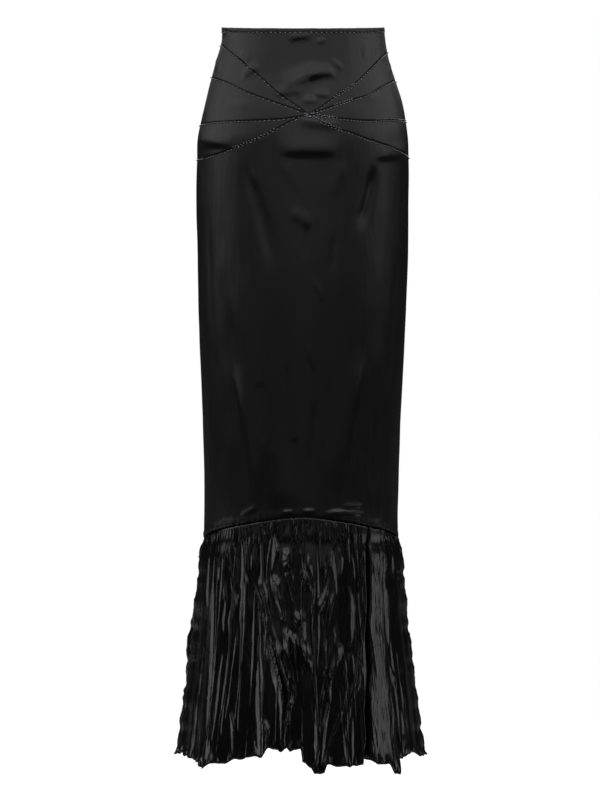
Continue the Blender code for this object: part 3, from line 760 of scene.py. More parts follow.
# %% [markdown]
# ## Column
#
# The long front panel and the two back panels hang from the hip. Just above the arched seam the
# seam allowance, which holds all the flounce's gathers, makes a soft roll that catches the light.

# %% Front and back of the column
GATHER_ROLL, ROLL_ABOVE, ROLL_REACH = 1.5, 6.0, 4.0     # mm: its rise, place and half width
ROLL_MEAN, ROLL_UNEVEN = 0.6, (0.5, 21, 40, 100)        # shares of that rise
TUCKS, TUCK_REACH = (0.55, 22, 6, 100), 7.0             # mm
CROWDING = 0.07                    # how far the column's rows crowd towards its seams
EXTRA_ROWS = [[0.0005], [0.0015]]  # shares of the way down


def gather_relief(angle, from_bottom):
    """Rise of the cloth over the gathered seam: a roll 6 mm above it, uneven round the skirt, and
    small tucks pulled by the gathers that fade out 10 mm above it."""
    uneven = ROLL_MEAN + ripples(angle, 0.0, ROLL_UNEVEN)
    profile = np.exp(-((from_bottom - ROLL_ABOVE) / ROLL_REACH) ** 2)
    roll = GATHER_ROLL * np.clip(uneven, 0.1, 1.5) * profile
    tucks = ripples(angle, 0.0, TUCKS) * np.exp(-from_bottom / TUCK_REACH)
    return roll + tucks


def make_column(name, node, angles, upper, rows):
    """A column panel: the same cloth as the yoke, with the gathered seam's roll along its foot. Two
    extra rows close to the upper seam keep the rounding of its edge as narrow as it is in cloth. In
    front that edge goes under the yoke; behind, it turns in fully under the binding."""
    share = np.linspace(0, 1, rows)[:, None]
    share = share - CROWDING * np.sin(2 * math.pi * share)
    share = np.insert(share, 1, EXTRA_ROWS, axis=0)
    top, bottom = upper(angles), flounce_z(angles)
    z = top * (1 - share) + bottom * share
    angle = np.broadcast_to(angles, z.shape)
    from_top, from_bottom = (top - z) / MM, (z - bottom) / MM
    top_drop = np.where(np.abs(angle) <= 90, LAP, 1.0)
    rise = body_relief(angle, z / MM) + gather_relief(angle, from_bottom)
    rise -= top_drop * turned_in(from_top) + turned_in(from_bottom)
    for edge in (angles[0], angles[-1]):
        rise -= turned_in((angle - edge) * MM_PER_DEGREE)
    points = skirt_points(angle, z, rise * MM)
    finished_panel(name, node, points, column_satin)


make_column("column_front", "front_skirt", front_angles, joined("left_4", "right_4"), 122)
make_column("column_back_right", "back_right", with_edge_steps(90, 180), below_binding, 124)
make_column("column_back_left", "back_left", with_edge_steps(-180, -90), below_binding, 124)

# %% [markdown]
# ## The crushed flounce
#
# The flounce is a strip of satin twisted wet and heat-set, so its pleats are sharp, irregular and
# run into each other. Between them the cloth lies nearly flat and dark. A pleat shows where one of
# its two flanks turns towards a light: it climbs at that flank, then drops back steeply. So each
# pleat is given by its bright flank, as the photo shows it: the side it faces, and where its two
# edges lie at a few heights, in mm across from the middle as seen from the front. The flank's slope
# follows from the facing that it needs there, and its rise from the slope and its width.

# %% Pleats of the front, listed one by one
#          faces    height, left edge, right edge (mm)
PLEATS = [
    ("left", [(-774, -139.5, -137), (-818, -141.5, -139), (-840, -143, -139), (-861, -143, -139),
              (-871, -141.5, -140)]),
    ("left", [(-764, -130.5, -129), (-784, -127.5, -125), (-818, -129.5, -128), (-839, -131, -127),
              (-912, -132, -126.5), (-970, -134, -128.5), (-999, -136.5, -131.5), (-1057, -137, -131.5),
              (-1091, -135, -128.5)]),
    ("left", [(-833, -136, -134.5), (-862, -134.5, -132), (-887, -135.5, -131.5), (-901, -133.5, -132)]),
    ("left", [(-766, -123, -121), (-789, -123.5, -121), (-804, -122, -117.5), (-824, -120, -118)]),
    ("left", [(-827, -114, -112.5), (-842, -115.5, -111), (-859, -112.5, -109.5), (-879, -115.5, -111),
              (-903, -114, -112.5)]),
    ("left", [(-761, -107, -105.5), (-777, -110, -108), (-803, -107, -105.5), (-841, -103.5, -101.5)]),
    ("left", [(-768, -104.5, -102.5), (-794, -100, -98), (-832, -97, -95.5)]),
    ("left", [(-844, -103, -100.5), (-856, -103, -97), (-882, -108.5, -99), (-911, -107, -101.5),
              (-951, -108, -105.5), (-983, -111.5, -108.5), (-1006, -115.5, -112),
              (-1049, -118, -116.5)]),
    ("left", [(-759, -95, -92), (-771, -91.5, -87.5), (-812, -90.5, -86), (-826, -92, -82.5),
              (-881, -94.5, -83), (-904, -91, -85.5), (-950, -93, -89), (-1016, -96, -93),
              (-1042, -95.5, -94)]),
    ("left", [(-762, -84, -82.5), (-782, -85, -83), (-811, -83, -81)]),
    ("left", [(-782, -76.5, -75), (-794, -77, -74), (-811, -77, -75.5)]),
    ("left", [(-750, -64, -62.5), (-811, -62.5, -59.5), (-825, -67.5, -59.5), (-840, -63.5, -54),
              (-854, -58.5, -50.5), (-886, -52, -46.5), (-909, -43.5, -39.5), (-929, -33, -30)]),
    ("left", [(-837, -74, -71), (-854, -68, -63), (-869, -61.5, -56.5), (-886, -57, -51.5),
              (-897, -52, -49)]),
    ("left", [(-754, -58.5, -53.5), (-764, -57.5, -53.5), (-772, -56, -55)]),
    ("left", [(-758, -44.5, -42), (-776, -45.5, -37.5), (-790, -46, -39), (-811, -47, -44.5)]),
    ("left", [(-814, -49, -46), (-825, -47.5, -37), (-842, -45.5, -35), (-854, -41.5, -33),
              (-868, -35, -28.5), (-883, -32.5, -27.5)]),
    ("left", [(-780, -30.5, -23), (-793, -32, -21.5), (-806, -26.5, -20.5)]),
    ("left", [(-809, -27.5, -23.5), (-842, -22.5, -18.5), (-865, -14.5, -11.5)]),
    ("left", [(-810, -19, -17.5), (-823, -17, -13.5), (-836, -13, -11)]),
    ("right", [(-738, -14, -9), (-752, -10.5, -7.5), (-796, -1, 1), (-813, 2, 9.5), (-828, 4.5, 14),
              (-839, 11.5, 16), (-854, 13.5, 16)]),
    ("right", [(-787, 8.5, 11), (-802, 7.5, 15.5), (-816, 13, 16.5), (-834, 17.5, 21),
              (-851, 16.5, 19.5), (-868, 13, 15)]),
    ("right", [(-755, 25.5, 27.5), (-778, 25, 27), (-810, 26.5, 28)]),
    ("right", [(-793, 33, 35), (-808, 32.5, 37), (-825, 32.5, 34.5)]),
    ("right", [(-741, 45.5, 53.5), (-758, 46, 50.5), (-779, 44.5, 47), (-802, 41.5, 50),
              (-816, 45, 51.5), (-840, 49, 52), (-854, 42.5, 48.5), (-883, 37, 42.5), (-906, 34, 37),
              (-949, 31, 36), (-960, 31, 32.5)]),
    ("right", [(-776, 54.5, 56.5), (-793, 57, 62), (-808, 55.5, 60), (-819, 52.5, 56.5)]),
    ("right", [(-828, 38.5, 40.5), (-844, 33, 39), (-857, 26.5, 35.5), (-868, 24, 27)]),
    ("right", [(-741, 62.5, 68), (-759, 66.5, 70), (-799, 69.5, 71.5)]),
    ("right", [(-788, 73, 75.5), (-802, 75, 78.5), (-823, 76.5, 78.5)]),
    ("right", [(-834, 69.5, 72), (-857, 71, 79.5), (-889, 70, 78), (-909, 71.5, 76), (-924, 68, 70.5),
              (-955, 59, 62)]),
    ("right", [(-846, 82, 84), (-869, 82, 85.5), (-887, 85.5, 87.5)]),
    ("right", [(-913, 87, 91.5), (-927, 84.5, 94.5), (-961, 79, 94), (-976, 76.5, 85), (-993, 71, 75),
              (-1015, 66.5, 72.5), (-1032, 62.5, 68), (-1052, 59, 62), (-1089, 57, 60)]),
    ("right", [(-1021, 74.5, 76.5), (-1041, 72, 77.5), (-1089, 73.5, 77)]),
    ("right", [(-745, 105.5, 119), (-760, 104, 126), (-812, 103, 126.5), (-830, 104, 123)]),
    ("right", [(-835, 103.5, 120), (-859, 105, 120), (-870, 105.5, 115.5), (-885, 103.5, 115),
              (-899, 108, 120), (-917, 111.5, 123.5), (-963, 114, 123), (-983, 108, 122.5),
              (-1000, 101.5, 123.5), (-1025, 100.5, 127.5), (-1045, 99, 130), (-1065, 99.5, 112.5),
              (-1088, 99.5, 112.5)]),
    ("right", [(-836, 121.5, 126), (-860, 122, 128), (-904, 126, 129.5), (-921, 128, 130)]),
    ("right", [(-1038, 117.5, 122.5), (-1061, 120, 124), (-1079, 124.5, 130), (-1099, 129, 134.5)]),
    ("right", [(-1039, 124, 128.5), (-1062, 126.5, 131), (-1099, 133, 136)]),
    ("right", [(-779, 134, 136), (-799, 134.5, 137), (-820, 136, 138)]),
    ("right", [(-806, 143, 145), (-820, 141, 145.5)]),
    ("right", [(-953, 130, 132), (-968, 131.5, 137), (-982, 135.5, 140)]),
    ("right", [(-991, 130.5, 132.5), (-1014, 134, 136), (-1051, 134, 136)]),
    ("right", [(-1018, 149, 151), (-1039, 151, 153.5), (-1064, 150, 155), (-1076, 150.5, 153.5)]),
    ("right", [(-868, -1.5, 2), (-883, 0, 6.5), (-914, 0.5, 7), (-928, 3.5, 13.5), (-943, 7, 19.5),
              (-954, 12, 19), (-971, 17, 19)]),
    ("left", [(-871, -15.5, -11), (-880, -14.5, -5), (-888, -11, -6.5)]),
    ("left", [(-894, -30.5, -26.5), (-909, -29, -12.5), (-926, -28.5, -9), (-940, -23, -9.5),
              (-954, -17, -8.5), (-971, -11.5, -8), (-991, -17.5, -11.5), (-1011, -23, -18.5),
              (-1029, -26, -23)]),
    ("left", [(-906, -59, -50.5), (-923, -56, -36), (-940, -52, -32), (-975, -42, -20.5),
              (-995, -37, -19), (-1012, -34, -23), (-1051, -32.5, -28), (-1068, -29.5, -25)]),
    ("left", [(-852, -66.5, -63), (-929, -68, -61.5), (-950, -69.5, -57.5), (-995, -70.5, -57),
              (-1018, -70, -58), (-1032, -67, -57.5), (-1078, -67, -57.5)]),
    ("left", [(-1026, -57.5, -54.5), (-1038, -60, -49.5), (-1049, -59, -50.5), (-1055, -57.5, -53)]),
    ("left", [(-1013, -107, -105), (-1028, -105.5, -101), (-1060, -104, -99.5), (-1085, -103, -100)]),
    ("right", [(-923, 41.5, 43), (-949, 39, 41), (-983, 30.5, 33), (-1003, 26.5, 28.5), (-1046, 25, 27)]),
    ("right", [(-900, 47.5, 51.5), (-915, 48.5, 57.5), (-926, 51.5, 62), (-938, 49.5, 57),
              (-960, 41.5, 47), (-980, 38, 43.5), (-997, 40, 44), (-1029, 32, 38), (-1048, 29.5, 35),
              (-1088, 26.5, 29.5)]),
    ("right", [(-972, 66.5, 69), (-1015, 56.5, 59.5), (-1037, 47.5, 50.5), (-1057, 41, 44),
              (-1088, 31, 34)]),
    ("right", [(-1003, 14, 16), (-1017, 13.5, 15.5), (-1034, 15, 17)]),
    ("left", [(-1043, -77.5, -74.5), (-1055, -73.5, -70), (-1067, -71.5, -68)]),
]
GAP = [(-745, 98, 101.5), (-775, 95, 101), (-800, 94.5, 102), (-860, 96.5, 101.5), (-885, 95, 99.5),
       (-910, 93.5, 101), (-960, 96, 102.5), (-985, 94, 99), (-1010, 92, 100.5), (-1050, 94.5, 101.5),
       (-1100, 93, 100)]
print("charted pleats:", len(PLEATS))

# %% Main folds, corners and facings
# Main folds behind the pleats, from the seam to the hem. The depth is at the hem, in mm.
#            seam hem half-width depth     (angles in degrees)
TROUGHS = [(-72, -70, 5.0, 3), (-60, -58, 4.5, 3), (-25, -23.5, 3.6, 5),
           (-5, -3, 5.0, 6), (12, 13, 5.0, 4), (27, 25, 5.0, 3),
           (60, 58, 5.0, 3.5), (72, 71, 4.5, 3), (82, 82, 4.0, 3),
           (98, 99, 5.0, 10), (109, 111, 4.5, 13), (121, 122, 5.0, 10), (134, 133, 5.0, 18),
           (146, 147, 4.5, 10), (157, 158, 4.5, 13), (168, 169, 5.0, 11), (181, 180, 5.0, 16),
           (193, 192, 4.5, 9), (203, 204, 5.0, 14), (215, 216, 5.0, 11), (226, 228, 4.5, 19),
           (238, 239, 5.0, 10), (250, 249, 4.5, 12), (261, 261, 4.5, 9)]
# Corners, where the cloth turns from facing forward to facing sideways, along one ridge.
#           seam hem  reach rise
CORNERS = [(-51, -45, 14.0, 8.0), (129, 132, 13.0, 7.0), (227, 230, 13.0, 7.0)]
# Facings that catch the side lights, in degrees, seen from in front and from behind.
LIT = {"left": -42.0, "right": 38.0, "behind_right": 128.0, "behind_left": 228.0}
STEEPEST = 50.0           # how far a flank may turn out of the cloth, in degrees
TREAD = 9.0               # mm: a wider flank is crushed into treads of about this width
FADE = 5.0                # mm over which a pleat begins and ends
DROP_WIDTH, DROP_SHARE = 1.6, 0.7     # a pleat's steep side: in mm, or its share of the rise
print("main folds:", len(TROUGHS), "and corners:", len(CORNERS))


def facing(angle, z):
    """Azimuth of the body's outward normal, in degrees: that of the ellipse, whose tangent is
    depth times sine over breadth times cosine."""
    across, deep, sine, cosine = quarter(angle, z)
    return np.degrees(np.arctan2(deep * sine, across * cosine))


def arc_per_degree(angle, z):
    """Millimetres of cloth for each degree of angle."""
    across, deep, sine, cosine = quarter(angle, z)
    return np.hypot(across * cosine, deep * sine) * math.pi / 180 / MM


def angle_at(across_mm, z):
    """Angle of the front's cloth that is seen `across_mm` from the middle."""
    left, right, _, _ = half_breadths(z)
    share = across_mm * MM / np.where(across_mm > 0, right, left)
    return np.degrees(np.arcsin(np.clip(share, -0.999, 0.999)))


def flank_edges(rows, height, measured_across):
    """Angles of a flank's left and right edge at each point's height."""
    heights = column_of(rows, 0)[::-1]
    first = np.interp(height, heights, column_of(rows, 1)[::-1])
    second = np.interp(height, heights, column_of(rows, 2)[::-1])
    if measured_across:
        return angle_at(first, height * MM), angle_at(second, height * MM)
    return first, second


def turn_to(faces, angle, z):
    """How far the cloth there has to turn, in degrees, to face that light."""
    return (facing(angle, z) - LIT[faces] + 180) % 360 - 180


# %% The rise of one pleat
def pleat(angle, height, faces, rows, base_slope, measured_across=True):
    """Rise of one pleat, in mm. Along its bright flank the rise is the running sum of the slope
    still missing, at each point, to turn the cloth to the light. A wide flank is cut into treads
    that each start from nothing again, and past its high edge the pleat drops back steeply."""
    left, right = flank_edges(rows, height, measured_across)
    scale = arc_per_degree((left + right) / 2, height * MM)
    turn = np.clip(turn_to(faces, angle, height * MM), -STEEPEST, STEEPEST)
    missing = np.tan(np.radians(turn)) - base_slope
    inside = (angle >= left) & (angle <= right)
    steps = missing * np.gradient(angle, axis=1) * scale
    climb = np.cumsum(steps * inside, axis=1)
    total = climb[:, -1:]
    widest = max(row[2] - row[1] for row in rows)
    treads = max(1, round(widest / TREAD)) if measured_across else 1
    high = np.abs(total) / treads
    unit = np.abs(np.where(total > 0, climb, climb - total)) / (high + 0.001)
    tread = unit - np.floor(np.minimum(unit, treads - 0.01))
    drop = np.maximum(DROP_WIDTH, DROP_SHARE * high)
    after = np.clip(1 - (angle - right) * scale / drop, 0, 1)
    before = np.clip(1 + (angle - left) * scale / drop, 0, 1)
    beyond = np.where(total > 0, angle > right, angle < left)
    short = np.where(total > 0, angle < left, angle > right)
    shape = np.where(beyond, 1.0, np.where(short, 0.0, tread)) * np.where(total > 0, after, before)
    below_top = smooth_step((rows[0][0] - height) / FADE + 0.5)
    above_end = smooth_step((height - rows[-1][0]) / FADE + 0.5)
    return high * shape * (below_top * above_end)


# %% The main folds and the corners
def gap_depth(angle, height):
    """Depth of the fold that shows as one black line on the right, in mm: a trough with a flat
    bottom, exp(-(distance / width)^4), that deepens downwards."""
    left, right = flank_edges(GAP, height, True)
    middle, half = (left + right) / 2, (right - left) / 2
    heights, depths = [745, 790, 1050, 1090], [3, 14, 22, 22]
    return np.interp(-height, heights, depths) * np.exp(-((angle - middle) / (0.8 * half)) ** 4)


def trough_depth(angle, down):
    """Depth of the main folds, in mm: nothing at the seam and the full depth at the hem."""
    depth = np.zeros(np.broadcast(angle, down).shape)
    for seam_angle, hem_angle, half_width, deep in TROUGHS:
        across = (angle - (seam_angle + (hem_angle - seam_angle) * down)) / half_width
        depth = np.maximum(depth, deep * down ** 0.8 * np.exp(-across ** 2))
    return depth


def corner_rise(angle, down):
    """Straight-sided ridges at the corners, in mm, rising over the first quarter of the drop."""
    rise = np.zeros(np.broadcast(angle, down).shape)
    for seam_angle, hem_angle, reach, high in CORNERS:
        away = np.abs(angle - (seam_angle + (hem_angle - seam_angle) * down)) / reach
        rise = np.maximum(rise, high * np.clip(1 - away, 0, 1))
    return rise * smooth_step(down / 0.25 + 0.3)


# %% Narrow pleats between the charted ones
PLEAT_TOPS, PLEAT_ENDS = [-735, -760, -840, -930], [-1105, -1105, -1040, -950]      # mm
PLEAT_LEAN, PLEAT_STRAY = 1.2, 0.35                 # degrees each 200 mm, and at each height
GATHER_LENGTHS, GATHER_WIDTHS, GATHER_STEPS = (8, 45), (0.5, 1.2), (1.0, 3.0)
GATHER_LEAN = 0.9                                   # degrees


def some_side(rng, place):
    """One of the lights that the cloth at a place can turn to, drawn at random."""
    near = [name for name in LIT if abs(float(turn_to(name, place, -0.95))) < STEEPEST]
    return near[int(rng.integers(len(near)))]


def seeded_pleats(seed, first, last, spacing, widest):
    """Rows for narrow pleats at uneven steps round the flounce, each wandering and swelling in its
    own way, and some ending half way."""
    rng = np.random.default_rng(seed)
    pleats = []
    place = first + rng.uniform(0, spacing)
    while place < last:
        top = rng.choice(PLEAT_TOPS)
        bottom = rng.choice(PLEAT_ENDS)
        lean = rng.normal() * PLEAT_LEAN
        rows = []
        for height in np.linspace(top, bottom, 6):
            at = place + lean * (top - height) / 200 + rng.normal() * PLEAT_STRAY
            width = rng.uniform(0.5, 1.0) ** 2 * widest if rng.random() < 0.8 else widest * 1.8
            rows.append((height, at, at + width))
        pleats.append((some_side(rng, place), rows))
        place += spacing * rng.uniform(0.5, 1.6)
    return pleats


def seam_gathers(seed, first, last):
    """Rows for the short gathers under the arched seam: close together, 8 to 45 mm long, and
    swelling to their widest a third of the way down."""
    rng = np.random.default_rng(seed)
    gathers = []
    place = first + 1.0
    while place < last - 1.0:
        seam = float(flounce_z(place)) / MM
        length, width = rng.uniform(*GATHER_LENGTHS), rng.uniform(*GATHER_WIDTHS)
        lean = rng.normal() * GATHER_LEAN
        middle, end = place + 0.4 * lean, place + lean
        rows = [(seam + 3, place, place + 0.6 * width),
                (seam - 0.35 * length, middle, middle + width),
                (seam - length, end, end + 0.3 * width)]
        gathers.append((some_side(rng, place), rows))
        place += rng.uniform(*GATHER_STEPS)
    return gathers


front_extra = seeded_pleats(41, -56, 62, 5.0, 0.9) + seam_gathers(45, -90, 90)
back_extra = seeded_pleats(43, 90, 270, 2.6, 1.8) + seam_gathers(46, 90, 270)
print("narrow pleats and gathers:", len(front_extra), "in front,", len(back_extra), "behind")

# %% The relief of the whole flounce
SIDE_PUCKER_REACH = 14                            # degrees from a side seam
FOLDS_START, PUCKERS_START = 0.10, 0.08           # shares of the drop over which they fade in
UNEVEN_BASE, FINE_WRINKLES = (0.25, 31, 26, 90), (0.05, 33, 5, 24)
BROAD_PUCKERS, FINE_PUCKERS = (1.5, 36, 60, 26), (0.6, 37, 9, 12)


def flounce_relief(angle, height, down, charted, seeded):
    """Rise of the flounce's cloth out of its envelope, in mm: folds and corners, then the pleats,
    then fine ripples, and puckers where the seam draws the cloth up at both sides."""
    base = corner_rise(angle, down) - trough_depth(angle, down)
    base += ripples(angle, height, UNEVEN_BASE) * smooth_step(down / FOLDS_START)
    scale = arc_per_degree(angle, height * MM)
    base_slope = np.gradient(base, axis=1) / (np.gradient(angle, axis=1) * scale)
    rise = base.copy()
    for faces, rows in charted:
        rise += pleat(angle, height, faces, rows, base_slope)
    for faces, rows in seeded:
        rise += pleat(angle, height, faces, rows, base_slope, measured_across=False)
    rise += ripples(angle, height, FINE_WRINKLES)
    from_side_seam = np.abs((angle + 180) % 360 - 180) - 90
    by_side_seam = np.exp(-(from_side_seam / SIDE_PUCKER_REACH) ** 2)
    puckers = ripples(90.0, height, BROAD_PUCKERS) + ripples(angle, height, FINE_PUCKERS)
    return rise + by_side_seam * smooth_step(down / PUCKERS_START) * puckers


# %% The hem's line
# How far the hem lies above or below its level line, as the lifted and dipping folds show.
#           angle lift (mm)
HEM_LINE = [(-90, 2), (-75, 9), (-67, 5), (-59, 3), (-54, 0), (-47, -7), (-43, 1), (-35.5, 2),
            (-31.5, 10), (-28.5, 9), (-22.5, 14), (-18.5, 13), (-15.5, 27), (-11.5, 24), (-10, 22),
            (-7.5, 27), (-5.5, 22), (-1, 26), (0, 7), (3.5, 0), (5.5, -9), (9.5, -9), (11.5, 5),
            (15.5, 0), (21.5, 0), (28.5, 1), (30.4, 27), (32, 7), (37.5, 0), (42, 0), (45.5, -15),
            (49.5, -16), (51, 6), (57, 7), (62, 13), (72, 4), (90, 2)]
BACK_DIPS, FINE_FRILL = (7, 72, 34, 100), (0.9, 71, 10, 100)


def hem_z(angle):
    """Height of the hem: in front the outline above, in rounded steps from row to row, behind
    seeded dips, and a small frill on both."""
    places, lifts = column_of(HEM_LINE, 0), column_of(HEM_LINE, 1)
    i = np.clip(np.searchsorted(places, angle) - 1, 0, len(places) - 2)
    share = smooth_step((angle - places[i]) / (places[i + 1] - places[i]))
    front = lifts[i] * (1 - share) + lifts[i + 1] * share
    behind = ripples(angle, 0.0, BACK_DIPS) * np.abs(np.cos(np.radians(angle))) ** 0.3
    lift = np.where(angle <= 90, front, behind) + ripples(angle, 0.0, FINE_FRILL)
    return HEM_Z + MM * lift


print("hem: lowest fold", round(float(hem_z(np.arange(-90, 90, 0.3)).min()), 3), "m")

# %% Flounce panels
FLOUNCE_INSET = 2.0                       # mm: its cloth lies a little inside the body's shape
FRILL, FRILL_SHARE = (1.8, 73, 11, 100), 0.05       # and the share of the drop that frills
ROW_CROWDING = 0.03                       # how far its rows crowd towards the seam and the hem


def make_flounce(name, node, first, last, columns, rows, charted, seeded, gap=False):
    """Half of the flounce, from the arched seam to the frilled hem."""
    angles = np.linspace(first, last, columns)
    down = np.linspace(0, 1, rows)[:, None]
    down = down - ROW_CROWDING * np.sin(2 * math.pi * down)
    angle = np.broadcast_to(angles, (rows, columns))
    down = np.broadcast_to(down, angle.shape)
    z = flounce_z(angles) * (1 - down) + hem_z(angles) * down
    rise = flounce_relief(angle, z / MM, down, charted, seeded)
    if gap:
        rise -= gap_depth(angle, z / MM)
    frill = smooth_step((down - (1 - FRILL_SHARE)) / FRILL_SHARE) * ripples(angle, 0.0, FRILL)
    points = skirt_points(angle, z, (rise + frill - FLOUNCE_INSET) * MM)
    finished_panel(name, node, points, crushed_satin)
    return points


front_flounce = make_flounce("flounce_front_cloth", "flounce_front", -90, 90, 620, 75, PLEATS,
                             front_extra, gap=True)
back_flounce = make_flounce("flounce_back_cloth", "flounce_back", 90, 270, 500, 94, [], back_extra)

# %% [markdown]
# ## Hem edge
#
# The flounce's raw edge is bound by a narrow overlock stitch, which a machine pulls tight over the
# cut. It is a flattened cord of thread that follows the hem's own points, so it frills with them.

# %% Overlocked edge
OVERLOCK_OUT, OVERLOCK_UP, OVERLOCK_INSET = 0.55, 1.0, 0.2      # mm: half sizes, and set in
LOOP_SWELL, LOOP_TURN = 0.12, 2.2           # share of the size, and radians from point to point


def make_overlock():
    """A closed cord round the hem: at each point of the edge a six-sided section, set in the plane
    of the outward and upward directions, swelling and shrinking with the loops of the stitch."""
    edge = np.concatenate([front_flounce[-1, :-1], back_flounce[-1, :-1]])
    outward = edge * (1, 1, 0)
    outward /= np.linalg.norm(outward, axis=-1, keepdims=True)
    turn = np.linspace(0, 2 * math.pi, 7)[:, None, None]
    wobble = 1 + LOOP_SWELL * np.sin(np.arange(len(edge)) * LOOP_TURN)[None, :, None]
    section = (outward[None] * np.cos(turn) * OVERLOCK_OUT
               + np.array([0, 0, 1.0]) * np.sin(turn) * OVERLOCK_UP) * wobble * MM
    points = edge[None] + section - outward[None] * OVERLOCK_INSET * MM
    points = np.concatenate([points, points[:, :1]], axis=1)
    mesh = grid_mesh("hem_overlock", points[::-1], cloth_uv(points)[::-1])
    return new_piece("hem_overlock", mesh, thread_finish)


overlock = make_overlock()
print("hem overlock:", len(overlock.data.polygons), "faces")

# %% [markdown]
# ## Beads and stitches
#
# Small glass beads are sewn one by one along the fan's seams and under the binding, closer
# together on the +X side, and in double rows where the photo shows clusters. A bead is a faceted
# barrel about 2.2 mm long. One shape is copied to all its places in a single array operation, which
# is far quicker than hundreds of separate objects.

# %% Beads along the seams
BEAD_LONG, BEAD_WIDE = 2.2, 1.9       # mm
BEAD_REST, BEAD_TURN = 0.45, 50       # share of its width above the cloth, and degrees either way
BEAD_SIZES = (0.85, 1.15)             # smallest and largest, as shares
#              seam      from  to   spacing offset (degrees, degrees, mm, mm above the seam)
BEAD_ROWS = [("left_1", -86, 2, 7.5, -0.9), ("left_2", -86, 0, 8.0, -0.9),
             ("left_3", -86, -2, 6.5, -0.9), ("left_4", -86, -1, 6.0, -0.9),
             ("right_1", 6, 86, 5.0, -0.9), ("right_2", 6, 86, 4.6, -0.9),
             ("right_3", 6, 86, 5.0, -0.9), ("right_4", 6, 86, 4.6, -0.9),
             ("right_1", 18, 32, 3.6, 1.9), ("right_2", 18, 30, 3.6, 1.9),
             ("right_3", 8, 20, 3.2, 1.9), ("right_4", 6, 22, 3.2, 2.2),
             ("right_3", 44, 84, 4.0, 1.9), ("left_4", -40, -14, 4.2, 1.9)]
WAIST_BEAD_STEP, WAIST_BEAD_DROP = 7.4, 0.5      # mm
WAIST_MM_FRONT, WAIST_MM_ROUND = 2.1, 1.85       # mm of waist each degree: in front, on average
KNOT_BEADS, KNOT_SPREAD = 12, (1.2, 2.2)         # round the fan's middle: degrees, mm
BEAD_STRAY = (0.10, 0.25)                        # degrees, mm


def bead_places():
    """Angle and height of every bead: along the seams by the table, under the binding in front, and
    a small knot of them at the fan's middle. Each strays a little, as sewn beads do."""
    rng = np.random.default_rng(61)
    places = []
    for seam, first, last, spacing, offset in BEAD_ROWS:
        angles = np.arange(first, last, spacing / MM_PER_DEGREE)
        places.append(np.stack([angles, fan_z(seam)(angles) / MM + offset], axis=-1))
    waist = np.arange(-86, 86, WAIST_BEAD_STEP / WAIST_MM_FRONT)
    places.append(np.stack([waist, below_binding(waist) / MM - WAIST_BEAD_DROP], axis=-1))
    knot = rng.normal(size=(KNOT_BEADS, 2)) * KNOT_SPREAD + (FAN_ANGLE, FAN_Z / MM)
    places = np.concatenate(places + [knot])
    return places + rng.normal(size=places.shape) * BEAD_STRAY


def make_beads():
    """All the beads as one mesh, each turned and sized a little at random."""
    rng = np.random.default_rng(62)
    angle, height = bead_places().T
    rest = body_relief(angle, height) + BEAD_REST * BEAD_WIDE
    frames = frames_at(angle, height * MM, rest, rng.uniform(-BEAD_TURN, BEAD_TURN, len(angle)))
    grow = rng.uniform(*BEAD_SIZES, (len(angle), 1))
    mesh = copies("seam_beads", BEAD_SHAPE, frames, grow * (BEAD_LONG, BEAD_WIDE, BEAD_WIDE))
    new_piece("seam_beads", mesh, bead_finish)


make_beads()

# %% Stitches along the binding and the arched seam
STITCH_LONG, STITCH_WIDE, STITCH_STEP = 2.3, 0.45, 3.2      # mm
STITCH_SUNK = 0.25                                          # mm into the cloth
BINDING_STITCH_UP, BINDING_STITCH_OUT = 1.1, 0.65           # mm
SEAM_STITCH_UP = 1.4                                        # mm


def make_stitches():
    """Topstitching: short thread bars in a line on the binding and just above the arched seam."""
    angle = np.arange(-179, 180, STITCH_STEP / WAIST_MM_ROUND)
    on_binding = frames_at(angle, below_binding(angle) + BINDING_STITCH_UP * MM,
                           BINDING_STITCH_OUT)
    seam = np.arange(-179, 180, STITCH_STEP / MM_PER_DEGREE)
    drop = np.degrees(np.arctan2(flounce_z(seam + 0.5) - flounce_z(seam - 0.5),
                                 MM_PER_DEGREE * MM))
    height = flounce_z(seam) / MM + SEAM_STITCH_UP
    rest = body_relief(seam, height) + gather_relief(seam, SEAM_STITCH_UP) - STITCH_SUNK
    on_seam = frames_at(seam, height * MM, rest, drop)
    frames = [np.concatenate(pair) for pair in zip(on_binding, on_seam)]
    mesh = copies("topstitching", STITCH_SHAPE, frames, (STITCH_LONG, STITCH_WIDE, STITCH_WIDE))
    mesh.shade_smooth()
    new_piece("topstitching", mesh, thread_finish)


make_stitches()

# %% [markdown]
# ## The concealed zip
#
# The zip lies behind the middle seam of the back, and only its slider and pull show, under the
# binding. The slider is a small cast plate with a bridge; the pull is cast too, with a raised rim.
# The pull hangs from a bar under the bridge and turns about it, so it rides on its own body.

# %% Sizes of the zip, in metres, and its place
HINGE = (0.0, 0.096478, -0.000956)
SLIDER_LEAN, PULL_LEAN = 0.10635, 0.07145         # radians about +X
ZIP_LENGTH, TAPE_HALF = 0.184, 0.012
TAPE_BEHIND, TAPE_THICKNESS = 1.9, 0.4            # mm: how far inside the cloth's face it lies
TAPE_RIDGE, TAPE_RIDGE_REACH = 0.35, 0.0012       # mm and metres, over the coil
COIL_PITCH, COIL_BEHIND, COIL_SLANT = 0.0014, 0.9, 8.0      # metres, mm, degrees
COIL_BAR = (4.0, 1.0, 0.9)                        # mm


